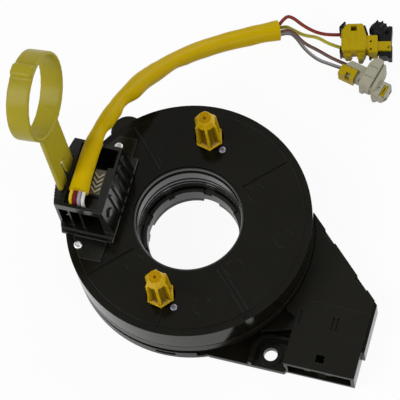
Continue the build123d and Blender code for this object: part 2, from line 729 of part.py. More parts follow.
def tower_slice(front, back, bottom, top):
    """The tower's outer form between two heights: round on the outside, slanted on the right."""
    section = Polyline(
        (-FAR, back, bottom), (right_face(bottom), back, bottom),
        (right_face(top), back, top), (-FAR, back, top),
        close=True,
    )
    return extrude(make_face(section), back - front, dir=(0, -1, 0)) & post(TOWER_RADIUS, bottom, top)


def face_ribs():
    """The ribs down the tower's slanted right face, and the diamond catch in front of them."""
    ribs = Part()
    depth = FACE_RIB_HEIGHT
    for i in range(FACE_RIBS):
        y = TOWER_BACK - FACE_RIB_PITCH * (i + 0.6)
        top = TOWER_TOP - FACE_RIB_TOP
        bottom = FACE_HEIGHT + TOWER_FLANGE
        section = Polyline(
            (right_face(bottom) - depth, y, bottom), (right_face(bottom) + depth, y, bottom),
            (right_face(top) + depth, y, top), (right_face(top) - depth, y, top + depth), close=True,
        )
        ribs += extrude(make_face(section), FACE_RIB_WIDTH, dir=(0, -1, 0))
    lean = math.degrees(math.atan2(TOWER_FOOT, TOWER_TOP - FACE_HEIGHT))
    catch = Pos(right_face(DIAMOND_Z), DIAMOND_Y, DIAMOND_Z) * Rot(0, -lean, 0) * Rot(45, 0, 0)
    return ribs + catch * Box(2 * depth, DIAMOND, DIAMOND)


def tab_legs(grow=0.0):
    """The lock tab's slotted foot and its two legs, in the tab's own frame."""
    upright = (Align.CENTER, Align.CENTER, Align.MIN)
    thickness = TAB_THICKNESS + 2 * grow
    foot_height = TAB_SHOULDER + grow + TAB_SLOT_TOP
    foot = Pos(0, 0, -TAB_SHOULDER - grow) * Box(thickness, TAB_WIDTH + 2 * grow, foot_height, align=upright)
    reach = TAB_REACH + grow
    legs = Pos(0, 0, -reach) * Box(thickness, TAB_WIDTH - 2 * TAB_LEG_INSET + 2 * grow, reach, align=upright)
    slot = Pos(0, 0, -reach - 1) * Box(FAR, TAB_SLOT - 2 * grow, reach + 1 + TAB_SLOT_TOP, align=upright)
    return foot + legs - slot


def make_tower():
    """The connector tower: pockets in front, a wire trough on top and slots for the lock tab."""
    tower = tower_slice(TOWER_FRONT, TOWER_BACK, FACE_HEIGHT, TOWER_TOP)
    tower += tower_slice(TOWER_FRONT - LEDGE_DEPTH, TOWER_BACK, FACE_HEIGHT, FACE_HEIGHT + LEDGE_HEIGHT)
    flange = (TOWER_FRONT - FLANGE_FRONT_LIP, TOWER_BACK + FLANGE_BACK_LIP)
    tower += tower_slice(*flange, FACE_HEIGHT, FACE_HEIGHT + TOWER_FLANGE)
    tower += face_ribs()
    for place, edge in ((FRONT_SCREW, flange[0]), (BACK_SCREW, TOWER_BACK)):
        outer = place[1] + math.copysign(SCREW_TAB, place[1])
        tab = block((-FAR, TOWER_RIGHT), sorted((edge, outer)), (FACE_HEIGHT, FACE_HEIGHT + TAB_PLATE))
        tower += tab & post(STEP_RADIUS - FIT, FACE_HEIGHT, TOWER_TOP)
        tower -= post(SCREW_SHANK + SCREW_FIT, FACE_HEIGHT - 1, FACE_HEIGHT + TAB_PLATE + 1, place)
        tower -= post(TOWER_SCREW_HEAD + FIT, FACE_HEIGHT + TAB_PLATE, TOWER_TOP, place)
    for left, width, depth in POCKETS:
        tower -= block(
            (left, left + width), (TOWER_FRONT - 1, TOWER_FRONT + depth), (POCKET_BOTTOM, POCKET_TOP)
        )
    tower -= block((TROUGH_LEFT, TROUGH_RIGHT), (TROUGH_FRONT, TROUGH_BACK), (TROUGH_FLOOR, TOWER_TOP + 1))
    tower -= block(
        (WELL_LEFT, TOWER_RIGHT - WELL_WALL), (WELL_FRONT, TROUGH_BACK),
        (TOWER_TOP - WELL_DEPTH, TOWER_TOP + 1)
    )
    x, y, z = SLEEVE_ROUTE[1]
    saddle = Pos(x, TOWER_BACK, z) * Rot(90, 0, 0) * Cylinder(
        SLEEVE_DIAMETER / 2 + 3 * FIT, 2 * (TOWER_BACK - TROUGH_BACK) + 1
    )
    tower -= saddle
    tower -= TAB_FRAME * tab_legs(FIT)
    for i in range(LOUVRES):
        y = TOWER_FRONT + 2 * LOUVRE_WIDTH * (i + 2)
        tower -= block(
            (-FAR, TROUGH_LEFT - TAB_THICKNESS), (y, y + LOUVRE_WIDTH),
            (TOWER_TOP - LOUVRE_WIDTH, TOWER_TOP + 1)
        )
    return tower


def make_rotor_blades():
    """The blades in the tower's pockets, bedded in each pocket's back wall."""
    blades = []
    for left, width, depth in POCKETS:
        columns = math.floor(width / BLADE_PITCH)
        back = TOWER_FRONT + depth
        for column in range(columns):
            x = left + width * (column + 1) / (columns + 1)
            for row in (1, 2):
                z = POCKET_BOTTOM + (POCKET_TOP - POCKET_BOTTOM) * row / 3
                blades.append(
                    block(
                        (x - BLADE / 2, x + BLADE / 2), (back - ROTOR_BLADE, back),
                        (z - BLADE / 2, z + BLADE / 2)
                    )
                )
    return blades


def make_terminal_block():
    """The strip in the trough with chevron ridges, where the flat cable meets the lead."""
    left = TROUGH_RIGHT - BLOCK_WIDTH - FIT
    back = BLOCK_FRONT + BLOCK_LENGTH
    strip = block((left, left + BLOCK_WIDTH), (BLOCK_FRONT, back), (TROUGH_FLOOR, TOWER_TOP - CHEVRON_HEIGHT))
    middle = left + BLOCK_WIDTH / 2
    half = BLOCK_WIDTH / 2 - FIT
    pitch = (BLOCK_LENGTH - BLOCK_WIDTH / 2) / CHEVRONS
    for i in range(CHEVRONS):
        y = BLOCK_FRONT + FIT + pitch * i
        ridge = (
            (middle - half, y + half), (middle, y), (middle + half, y + half),
            (middle + half, y + half + CHEVRON_WIDTH), (middle, y + CHEVRON_WIDTH),
            (middle - half, y + half + CHEVRON_WIDTH),
        )
        strip += prism(ridge, TOWER_TOP - 2 * CHEVRON_HEIGHT, TOWER_TOP)
    return strip


def make_lock_tab():
    """The lock tab: a finger loop on a flat tongue that ends in two legs."""
    tongue_top = LOOP_CENTRE - LOOP_RADIUS + LOOP_WALL / 2
    tongue = Pos(0, 0, TAB_SLOT_TOP) * Box(
        TAB_THICKNESS, TAB_WIDTH, tongue_top - TAB_SLOT_TOP, align=(Align.CENTER, Align.CENTER, Align.MIN)
    )
    loop_place = Pos(0, 0, LOOP_CENTRE) * Rot(0, 90, 0)
    loop = Cylinder(LOOP_RADIUS, LOOP_WIDTH)
    gusset = Pos(0, 0, tongue_top) * Box(TAB_THICKNESS, TAB_WIDTH, 3 * LOOP_WALL)
    ridge = Pos(0, 0, LOOP_CENTRE) * Rot(-RIDGE_ANGLE, 0, 0) * Pos(0, 0, LOOP_RADIUS - LOOP_WALL / 2) * Box(
        LOOP_WIDTH, RIDGE_WIDTH, LOOP_WALL / 2 + RIDGE_HEIGHT, align=(Align.CENTER, Align.CENTER, Align.MIN)
    )
    tab = tab_legs() + tongue + gusset + loop_place * loop + ridge
    tab -= loop_place * Cylinder(LOOP_RADIUS - LOOP_WALL, LOOP_WIDTH + 1)
    return TAB_FRAME * tab


def corner_radii(points):
    """The largest radius that each corner's two runs allow."""
    radii = []
    for before, corner, after in zip(points, points[1:], points[2:]):
        first = Vector(*corner) - Vector(*before)
        second = Vector(*after) - Vector(*corner)
        turn = math.radians(first.get_angle(second))
        radii.append(0.45 * min(first.length, second.length) / math.tan(turn / 2))
    return radii


def make_tube(name, points, diameter):
    """A plain tube along a route of straight runs joined by tangent arcs."""
    radii = corner_radii(points)
    path = FilletPolyline(*points, radius=radii)
    section = Plane(origin=path @ 0, z_dir=path % 0) * Circle(diameter / 2)
    tube = sweep(section, path=path)
    expected = math.pi * diameter ** 2 / 4 * path.length
    print(
        f"{name}: length {path.length:.1f}, least radius {min(radii):.1f}, "
        f"volume share {tube.volume / expected:.4f}"
    )
    return tube


def at_place(place, ahead, solid):
    """A plug's piece moved from its own frame to where the plug lies."""
    return Pos(*place) * Rot(0, 0, math.degrees(math.atan2(ahead[1], ahead[0]))) * solid


def centred(x, width, z, side=0.0):
    """A box in a plug's frame, its width centred on side."""
    return block(x, (side - width / 2, side + width / 2), z)


def make_yellow_plug():
    """The yellow plug's housing: a cheeked back with feet, a nose in two steps and its windows."""
    length, width, height = YELLOW_BODY
    root_end, root_low, root_high = YELLOW_ROOT
    nose_end, nose_low, nose_high = YELLOW_NOSE
    cheek_end = length + YELLOW_CHEEK[0]
    outline = (
        (0, -width / 2),
        (0, width / 2),
        (length, width / 2),
        (cheek_end, width / 2 - YELLOW_CHEEK[1]),
        (cheek_end, -width / 2),
    )
    plug = prism(outline, 0, height)
    foot_start, foot_end, foot_depth, foot_height = YELLOW_FOOT
    plug += block((foot_start, foot_end), (-width / 2 - foot_depth, 0), (0, foot_height))
    arch_start, arch_end, arch_height = YELLOW_ARCH
    plug -= block((arch_start, arch_end), (-width / 2 - 1, -width / 2 + foot_depth), (-1, arch_height))
    plug += block((cheek_end - 1, root_end), (root_low, root_high), (PLUG_WALL, height - PLUG_WALL))
    plug += block(
        (root_end - 1, nose_end), (nose_low, nose_high), (PLUG_WALL, PLUG_WALL + YELLOW_NOSE_HEIGHT)
    )
    window = Pos(length / 2 + PLUG_WALL, width / 2 - YELLOW_WINDOW, height)
    plug -= window * Box(YELLOW_WINDOW, YELLOW_WINDOW, 2 * YELLOW_WINDOW)
    middle = (nose_low + nose_high) / 2
    for side in (-1, 1):
        y = middle + side * (nose_high - nose_low) / 4
        plug -= post(PLUG_WALL / 2, height - 2 * PLUG_WALL, height, (cheek_end + PLUG_WALL, y))
        mouth = Pos(nose_end, y, PLUG_WALL + YELLOW_NOSE_HEIGHT / 2) * Rot(0, 90, 0)
        plug -= mouth * Cylinder(PLUG_WALL, 8 * PLUG_WALL)
    return plug


def make_yellow_lock():
    """The black lock that slides along the yellow plug's nose: two arms, a sole and a domed latch."""
    root_end, root_low, root_high = YELLOW_ROOT
    nose_end, nose_low, nose_high = YELLOW_NOSE
    start = root_end + FIT
    end = nose_end + PLUG_WALL / 2
    top = YELLOW_NOSE_HEIGHT
    upper = block((start, end), (nose_high + FIT, root_high), (0, top))
    lower = block((start, end), (nose_low - FIT - 2 * PLUG_WALL, nose_low - FIT), (0, top))
    sole = block((start, end), (nose_low - FIT, nose_high + FIT), (0, PLUG_WALL - FIT))
    radius = 4 * PLUG_WALL
    dome = post(radius, 0, top + PLUG_WALL, (start, root_high + radius - PLUG_WALL))
    dome -= block((-FAR, FAR), (-FAR, root_high + FIT), (-1, FAR))
    dome -= ring(
        radius - 2 * PLUG_WALL, radius - PLUG_WALL, top, FAR, (start, root_high + radius - PLUG_WALL)
    )
    rear = block((end - 2 * PLUG_WALL, end), (nose_high + FIT, root_high + radius), (0, top))
    bridge = block((start, end), (root_high, root_high + 2 * PLUG_WALL), (0, top / 2))
    return upper + lower + sole + dome + rear + bridge


def make_yellow_catches():
    """The pair of black catches at the yellow plug's back corners."""
    length, width, height = YELLOW_BODY
    catches = []
    for side in (1, -1):
        inner = side * (width / 2 - 2 * PLUG_WALL)
        outer = side * (width / 2 + PLUG_WALL / 2)
        catches.append(block((-PLUG_WALL, 0), sorted((inner, outer)), (PLUG_WALL, height)))
    return catches


def grey_stations():
    """Where the grey plug's body, flange and nose end along it."""
    body_end = GREY_BODY[0]
    flange_end = body_end + GREY_FLANGE[0]
    return body_end, flange_end, flange_end + GREY_NOSE[0]


def make_grey_plug():
    """The grey plug's housing: a stepped back, a tall rounded flange and a slotted nose."""
    body_end, flange_end, nose_end = grey_stations()
    shelf_length, shelf_width, shelf_height = GREY_SHELF
    half = GREY_BODY[1] / 2
    body = block((0, body_end), (FIT, half), (0, GREY_BODY[2]))
    body += block((shelf_length, body_end), (-half, half), (0, GREY_BODY[2]))
    body += block((0, shelf_length + 1), (FIT - shelf_width, FIT + 1), (0, shelf_height))
    flange = centred((body_end, flange_end), GREY_FLANGE[1], (0, GREY_FLANGE[2]), GREY_FLANGE_SIDE)
    flange = fillet(flange.edges().filter_by(Axis.X).group_by(Axis.Z)[-1], 2 * PLUG_WALL)
    body += flange
    groove = (body_end + flange_end + PLUG_WALL) / 2
    body -= block((groove, groove + PLUG_WALL), (-FAR, FAR), (GREY_FLANGE[2] - PLUG_WALL, FAR))
    body += centred((flange_end, nose_end), GREY_NOSE[1], (0, GREY_NOSE[2]), GREY_NOSE_SIDE)
    body -= grey_slot(0.0)
    for side in (1, -1):
        hole = Pos(nose_end, GREY_NOSE_SIDE + side * GREY_NOSE[1] / 4, GREY_NOSE[2] / 3)
        body -= hole * Rot(0, 90, 0) * Cylinder(PLUG_WALL, 8 * PLUG_WALL)
    return body


def grey_slot(clearance):
    """The slot across the grey plug's nose, or what fills it with a clearance beside it."""
    body_end, flange_end, nose_end = grey_stations()
    start = nose_end - 3 * PLUG_WALL
    top = GREY_NOSE[2]
    width = GREY_NOSE[1] - 3 * PLUG_WALL
    x = (start + clearance, start + 1.5 * PLUG_WALL - clearance)
    return centred(x, width - 2 * clearance, (top - 1.5 * PLUG_WALL, top), GREY_NOSE_SIDE)


def make_grey_lock():
    """The yellow clip that slides along the step of the grey plug's back."""
    shelf_length, shelf_width, shelf_height = GREY_SHELF
    back = -GREY_CLIP_OVERHANG
    front = shelf_length - PLUG_TRAVEL / 2
    low = FIT - shelf_width - FIT
    plate = block(
        (back, front), (low - PLUG_WALL, 0), (shelf_height + FIT, shelf_height + FIT + 1.5 * PLUG_WALL)
    )
    cheek = block((back, front), (low - PLUG_WALL, low), (0, shelf_height + FIT))
    window = Pos((back + front) / 2, low / 2, shelf_height) * Box(2 * PLUG_WALL, 2 * PLUG_WALL, 8 * PLUG_WALL)
    return plate + cheek - window


yellow_pieces = {
    "yellow_plug": make_yellow_plug(),
    "yellow_plug_lock": make_yellow_lock(),
    "yellow_plug_catches": Compound(children=make_yellow_catches()),
}
grey_pieces = {
    "grey_plug": make_grey_plug(),
    "grey_plug_lock": make_grey_lock(),
    "grey_plug_insert": grey_slot(SCREW_FIT),
}
parts = {
    "stator_housing": make_stator(),
    "socket_arm": make_socket_arm(),
    "bottom_cover": make_bottom_cover(),
    "arm_lid": make_arm_lid(),
    "stator_header": make_stator_header(),
    "stator_blades": make_stator_blades(),
    "flat_cable": make_flat_cable(),
    "hub_sleeve": make_hub_sleeve(),
    "cancel_ring": make_cancel_ring(),
    "rotor_disc": make_rotor_disc(),
    "drive_pin_back": make_drive_pin(PIN_BACK),
    "drive_pin_front": make_drive_pin(PIN_FRONT),
    "drive_pin_screws": [make_screw(place, FACE_HEIGHT, PIN_SCREW_HEAD) for place in pin_screw_places()],
    "connector_tower": make_tower(),
    "tower_screws": [
        make_screw(place, FACE_HEIGHT + TAB_PLATE, TOWER_SCREW_HEAD) for place in tower_screw_places()
    ],
    "rotor_blades": make_rotor_blades(),
    "terminal_block": make_terminal_block(),
    "lock_tab": make_lock_tab(),
    "cable_sleeve": make_tube("cable_sleeve", SLEEVE_ROUTE, SLEEVE_DIAMETER),
}
for name, piece in yellow_pieces.items():
    parts[name] = at_place(YELLOW_PLACE, YELLOW_AHEAD, piece)
for name, piece in grey_pieces.items():
    parts[name] = at_place(GREY_PLACE, GREY_AHEAD, piece)
for name, route in (NEAR_WIRE_ROUTES | FAR_WIRE_ROUTES).items():
    parts[name] = make_tube(name, route, WIRE_DIAMETER)

os.makedirs("parts", exist_ok=True)
for name, piece in parts.items():
    pieces = piece if isinstance(piece, list) else [piece]
    solids = [solid for item in pieces for solid in item.solids()]
    export_step(Compound(children=solids) if len(solids) > 1 else solids[0], f"parts/{name}.step")
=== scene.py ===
"""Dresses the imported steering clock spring: lead, drive pins, lock tab, plugs, finishes, light and camera."""

import logging
import math
from dataclasses import dataclass, field
from enum import Enum
from typing import Any, Callable, Sequence

import bmesh
import bpy
from mathutils import Matrix, Vector


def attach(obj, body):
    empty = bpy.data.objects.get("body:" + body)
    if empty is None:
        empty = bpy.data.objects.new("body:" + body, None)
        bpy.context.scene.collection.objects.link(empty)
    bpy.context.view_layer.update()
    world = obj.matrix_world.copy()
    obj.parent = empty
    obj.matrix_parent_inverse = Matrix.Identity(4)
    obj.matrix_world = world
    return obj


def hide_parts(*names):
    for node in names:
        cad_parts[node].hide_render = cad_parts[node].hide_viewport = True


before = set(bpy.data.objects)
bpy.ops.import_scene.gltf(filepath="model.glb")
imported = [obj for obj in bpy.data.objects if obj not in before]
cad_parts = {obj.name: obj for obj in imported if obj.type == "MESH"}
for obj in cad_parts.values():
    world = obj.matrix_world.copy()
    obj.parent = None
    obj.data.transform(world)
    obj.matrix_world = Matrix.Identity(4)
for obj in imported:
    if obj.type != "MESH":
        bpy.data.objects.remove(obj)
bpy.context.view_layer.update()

log = logging.getLogger("clock_spring")

MM = 0.001
Colour = tuple[float, float, float]
Point = tuple[float, float, float]
Pair = tuple[float, float]
Outline = tuple[Pair, ...]
Box = tuple[Point, Point]
Bar = tuple[Point, Point, float]
Nodes = tuple[tuple[str, str], ...]
Rows = tuple[tuple[float, float, float], ...]
Piece = bpy.types.Object
Shape = bmesh.types.BMesh
Verts = list[bmesh.types.BMVert]


def metres(point: Sequence[float]) -> Vector:
    """A point given in millimetres, in metres."""
    return Vector(point) * MM


def shade(red: int, green: int, blue: int) -> Colour:
    """A colour given as screen values from 0 to 255, in linear light."""
    screen = (red / 255, green / 255, blue / 255)
    return tuple(v / 12.92 if v <= 0.04045 else ((v + 0.055) / 1.055) ** 2.4 for v in screen)


def eased(share: float) -> float:
    """A share from 0 to 1, with a soft start and end."""
    return share * share * (3.0 - 2.0 * share)


class Body(Enum):
    """The moving bodies of the frame."""

    ROTOR = "rotor"
    LOCK_TAB = "lock_tab"
    YELLOW_LOCK = "yellow_lock"
    GREY_LOCK = "grey_lock"


def operator(operation: str, swapped: bool = False) -> Callable[["Signal", Any], "Signal"]:
    """Makes an operator for signals, which adds one Math node.

    Args:
        operation: The node's operation.
        swapped: Whether the other value comes first.

    Returns:
        The operator.
    """

    def work_out(signal: "Signal", other: Any) -> "Signal":
        """Adds the node for a signal and another value."""
        return signal.worked_out(operation, *((other, signal) if swapped else (signal, other)))

    return work_out


class Signal:
    """A socket's value, whose operators add the Math nodes that work them out."""

    __add__ = __radd__ = operator("ADD")
    __sub__ = operator("SUBTRACT")
    __rsub__ = operator("SUBTRACT", swapped=True)
    __mul__ = __rmul__ = operator("MULTIPLY")
    __gt__ = operator("GREATER_THAN")
    __lt__ = operator("LESS_THAN")

    def __init__(self, graph: "Graph", socket: bpy.types.NodeSocket) -> None:
        """Keeps the socket and the graph that it is in."""
        self.graph = graph
        self.socket = socket

    def worked_out(self, operation: str, *values: Any, clamp: bool = False) -> "Signal":
        """Adds one Math node."""
        node = self.graph.add("Math", dict(enumerate(values)), operation=operation, use_clamp=clamp)
        return Signal(self.graph, node.outputs[0])

    def clamped(self) -> "Signal":
        """The value kept from 0 to 1."""
        return self.worked_out("ADD", self, 0.0, clamp=True)

    def sine(self) -> "Signal":
        """Sine of the value in radians."""
        return self.worked_out("SINE", self)

    def size(self) -> "Signal":
        """The value without its sign."""
        return self.worked_out("ABSOLUTE", self)


class Graph:
    """The node tree of a material or of the world."""

    noise_roughness = 0.55
    edge_samples = 6
    edge_gain = 4.0

    def __init__(self, tree: bpy.types.NodeTree) -> None:
        """Starts from an empty tree."""
        self.tree = tree
        self.tree.nodes.clear()

    def add(self, kind: str, sockets: dict[Any, Any] | None = None, **settings: Any) -> Any:
        """Adds a shader node.

        Args:
            kind: The node's type name, without its usual beginning.
            sockets: Values or links of its inputs, by name or number.
            settings: Its properties, set first.

        Returns:
            The node.
        """
        node = self.tree.nodes.new("ShaderNode" + kind)
        for name, value in settings.items():
            setattr(node, name, value)
        for name, value in (sockets or {}).items():
            self.plug(node.inputs[name], value)
        return node

    def plug(self, target: bpy.types.NodeSocket, value: Any) -> None:
        """Links a signal to an input, or sets the input's own value.

        Args:
            target: The input.
            value: A signal, a socket, a number or a colour.
        """
        if isinstance(value, Signal):
            value = value.socket
        if isinstance(value, bpy.types.NodeSocket):
            self.tree.links.new(value, target)
        elif target.type == "RGBA" and len(value) == 3:
            target.default_value = (*value, 1.0)
        else:
            target.default_value = value

    def signal(self, socket: bpy.types.NodeSocket) -> Signal:
        """Wraps a socket for maths."""
        return Signal(self, socket)

    def place(self, stretch: Point = (1.0, 1.0, 1.0)) -> Any:
        """Object coordinates, stretched by a factor along each axis."""
        sockets = {"Vector": self.add("TexCoord").outputs["Object"], "Scale": stretch}
        return self.add("Mapping", sockets, vector_type="POINT").outputs["Vector"]

    def part(self, vector: Any, axis: str) -> Signal:
        """One axis of a vector."""
        return self.signal(self.add("SeparateXYZ", {"Vector": vector}).outputs[axis])

    def noise(self, where: Any, scale: float, detail: float = 3.0) -> Signal:
        """Noise from 0 to 1 at a scale per metre."""
        sockets = {"Vector": where, "Scale": scale, "Detail": detail, "Roughness": self.noise_roughness}
        return self.signal(self.add("TexNoise", sockets).outputs["Fac"])

    def bump(self, height: Any, depth: float, **normal: Any) -> Any:
        """The normal of a surface whose height in metres goes up to a depth."""
        return self.add("Bump", {"Height": height, "Distance": depth, **normal}).outputs["Normal"]

    def blend(self, factor: Any, first: Any, second: Any) -> Any:
        """A colour between two, by a factor."""
        sockets = {0: factor, 6: first, 7: second}
        return self.add("Mix", sockets, data_type="RGBA", clamp_factor=True).outputs[2]

    def edge(self, radius: float) -> tuple[Any, Signal]:
        """Rounds the edges for the light.

        Args:
            radius: How far from an edge the rounding reaches, in metres.

        Returns:
            The rounded normal, and a mask that is 1 on edges.
        """
        soft = self.add("Bevel", {"Radius": radius}, samples=self.edge_samples).outputs["Normal"]
        flat = self.add("NewGeometry").outputs["True Normal"]
        product = self.add("VectorMath", {0: soft, 1: flat}, operation="DOT_PRODUCT")
        return soft, ((1.0 - self.signal(product.outputs["Value"])) * self.edge_gain).clamped()


@dataclass(frozen=True)
class Finish:
    """A finish that any piece can take; each kind of surface adds its own pattern."""

    name: str
    colour: Colour
    roughness: float = 0.4

    def pattern(self, graph: Graph) -> dict[str, Any]:
        """Values and links of the shader's sockets.

        Args:
            graph: The material's nodes.

        Returns:
            The sockets by name.
        """
        raise NotImplementedError

    def gloss(self, change: Signal, middle: float) -> Signal:
        """The roughness with a change that is none at the change's middle value."""
        return (change + (self.roughness - middle)).clamped()

    def dimmed(self, share: float) -> Colour:
        """The colour, darker by a share."""
        return tuple(c * (1.0 - share) for c in self.colour)

    def material(self) -> bpy.types.Material:
        """The finish's material, made once.

        Returns:
            The material.
        """
        name = self.name + "_finish"
        found = bpy.data.materials.get(name)
        if found is not None:
            return found
        made = bpy.data.materials.new(name)
        made.use_nodes = True
        graph = Graph(made.node_tree)
        shader = graph.add("BsdfPrincipled", self.pattern(graph))
        graph.add("OutputMaterial", {"Surface": shader.outputs["BSDF"]})
        return made

    def dress(self, piece: Piece) -> None:
        """Puts the finish on a piece in place of any other."""
        piece.data.materials.clear()
        piece.data.materials.append(self.material())


@dataclass(frozen=True)
class MouldedPlastic(Finish):
    """Moulded plastic: a fine grain, faint flow clouds and edges painted paler as a highlight."""

    grain: float = 1800.0
    depth: float = 0.00002
    clouds: float = 0.12
    edge_light: float = 0.35
    edge_radius: float = 0.0003
    glow: float = 0.0
    glow_reach: Point = (0.003, 0.003, 0.001)
    shine: float = 0.5
    cloud_scale: float = 90.0
    # Share of the painted edge highlight in the base colour.
    edge_highlight_share: float = 0.6

    def pattern(self, graph: Graph) -> dict[str, Any]:
        """Clouds in the colour, a painted highlight on the edges, grain in the gloss and the bump, and a faint
        glow.

        Args:
            graph: The material's nodes.

        Returns:
            The sockets by name.
        """
        where = graph.place()
        clouds = graph.noise(where, self.cloud_scale, 2.0)
        grain = graph.noise(where, self.grain, 2.0)
        soft, edges = graph.edge(self.edge_radius)
        light = tuple(min(1.0, c * (1.0 + self.clouds)) for c in self.colour)
        # The colour of the painted highlight on the edges.
        pale = tuple(min(1.0, c + self.edge_light * (0.12 + 0.5 * c)) for c in self.colour)
        body = graph.blend(clouds, self.dimmed(self.clouds), light)
        return {
            "Subsurface Weight": self.glow,
            "Subsurface Radius": self.glow_reach,
            "Subsurface Scale": 1.0,
            "Specular IOR Level": self.shine,
            "Base Color": graph.blend(edges * self.edge_highlight_share, body, pale),
            "Roughness": self.gloss(clouds * 0.08 + grain * 0.06, 0.07),
            "Normal": graph.bump(grain, self.depth, Normal=soft),
        }


@dataclass(frozen=True)
class GrooveShadedPlastic(MouldedPlastic):
    """Moulded plastic with painted shade in the grooves marked on the piece."""

    # The colour of the painted shade in the grooves.
    groove: Colour = shade(92, 70, 4)
    groove_shade_share: float = 0.85

    def pattern(self, graph: Graph) -> dict[str, Any]:
        """The plain pattern, with painted shade where the piece's groove attribute marks it.

        Args:
            graph: The material's nodes.

        Returns:
            The sockets by name.
        """
        sockets = super().pattern(graph)
        depth = graph.signal(graph.add("Attribute", attribute_name="groove").outputs["Fac"])
        share = (depth * self.groove_shade_share).clamped()
        sockets["Base Color"] = graph.blend(share, sockets["Base Color"], self.groove)
        return sockets


@dataclass(frozen=True)
class RidgeShadedPlastic(Finish):
    """Plastic with painted shade between its ridges: dark below the ridges' tops, paler on them, with random
    stains.
    """

    # The colour of the painted shade below the ridges' tops.
    ground: Colour = shade(40, 36, 26)
    ridge_height: float = 0.05355
    contrast: float = 9000.0
    stain_scale: float = 700.0

    def pattern(self, graph: Graph) -> dict[str, Any]:
        """Painted shade under the ridges' tops and a paler colour on them, with stains.

        Args:
            graph: The material's nodes.

        Returns:
            The sockets by name.
        """
        where = graph.place()
        top = (graph.part(where, "Z") - self.ridge_height) * self.contrast
        stain = graph.noise(where, self.stain_scale)
        pale = (top.clamped() * 0.85 + stain * 0.3).clamped()
        return {
            "Base Color": graph.blend(pale, self.ground, self.colour),
            "Roughness": self.gloss(stain * 0.2, 0.1),
        }


@dataclass(frozen=True)
class PlatedMetal(Finish):
    """Plated metal with fine drawing marks."""

    marks: float = 4000.0
    marks_stretch: Point = (1.0, 1.0, 0.15)
    marks_depth: float = 0.00001
    edge_radius: float = 0.00015
    tarnish: float = 0.25
    tarnish_scale: float = 400.0

    def pattern(self, graph: Graph) -> dict[str, Any]:
        """Drawing marks in the gloss and the bump.

        Args:
            graph: The material's nodes.

        Returns:
            The sockets by name.
        """
        where = graph.place(self.marks_stretch)
        marks = graph.noise(where, self.marks, 2.0)
        soft, edges = graph.edge(self.edge_radius)
        tarnish = graph.noise(where, self.tarnish_scale)
        return {
            "Metallic": 1.0,
            "Base Color": graph.blend(tarnish, self.dimmed(self.tarnish), self.colour),
            "Roughness": self.gloss(marks * 0.15 + edges * 0.1, 0.08),
            "Normal": graph.bump(marks, self.marks_depth, Normal=soft),
        }


@dataclass(frozen=True)
class SoftTube(Finish):
    """Extruded vinyl: fine lines along its length, rubbed patches and, on some, a stripe along it: a tracer on
    most, a painted highlight on the grey wire.
    """

    stripe: Colour | None = None
    stripe_width: float = 0.16
    stripe_at: float = 0.8
    rubbed: float = 0.16
    rubbed_scale: float = 160.0
    lines: float = 26.0
    grain: float = 1500.0
    depth: float = 0.00002
    shine: float = 0.08

    def pattern(self, graph: Graph) -> dict[str, Any]:
        """Lines and stripe from the tube's own map: U along it and V round it.

        Args:
            graph: The material's nodes.

        Returns:
            The sockets by name.
        """
        where = graph.place()
        rubbed = graph.noise(where, self.rubbed_scale, 4.0)
        around = graph.part(graph.add("UVMap", uv_map="tube").outputs["UV"], "Y")
        lines = (around * (math.tau * self.lines)).sine() * 0.5 + 0.5
        body = graph.blend(rubbed, self.dimmed(self.rubbed), self.colour)
        if self.stripe is not None:
            body = graph.blend((around - self.stripe_at).size() < self.stripe_width, body, self.stripe)
        return {
            "Specular IOR Level": self.shine,
            "Base Color": body,
            "Roughness": self.gloss(rubbed * 0.14, 0.07),
            "Normal": graph.bump(lines * 0.4 + graph.noise(where, self.grain), self.depth),
        }


@dataclass(frozen=True)
class CableFilm(Finish):
    """Amber film with flat copper conductors along the coil."""

    copper: Colour = (0.60, 0.28, 0.12)
    pitch: float = 0.0022
    gap: float = -0.2

    def pattern(self, graph: Graph) -> dict[str, Any]:
        """Conductors as bands across the film's height.

        Args:
            graph: The material's nodes.

        Returns:
            The sockets by name.
        """
        bands = (graph.part(graph.place(), "Z") * (math.tau / self.pitch)).sine() > self.gap
        return {
            "Base Color": graph.blend(bands, self.colour, self.copper),
            "Roughness": self.gloss(bands * 0.1, 0.05),
        }


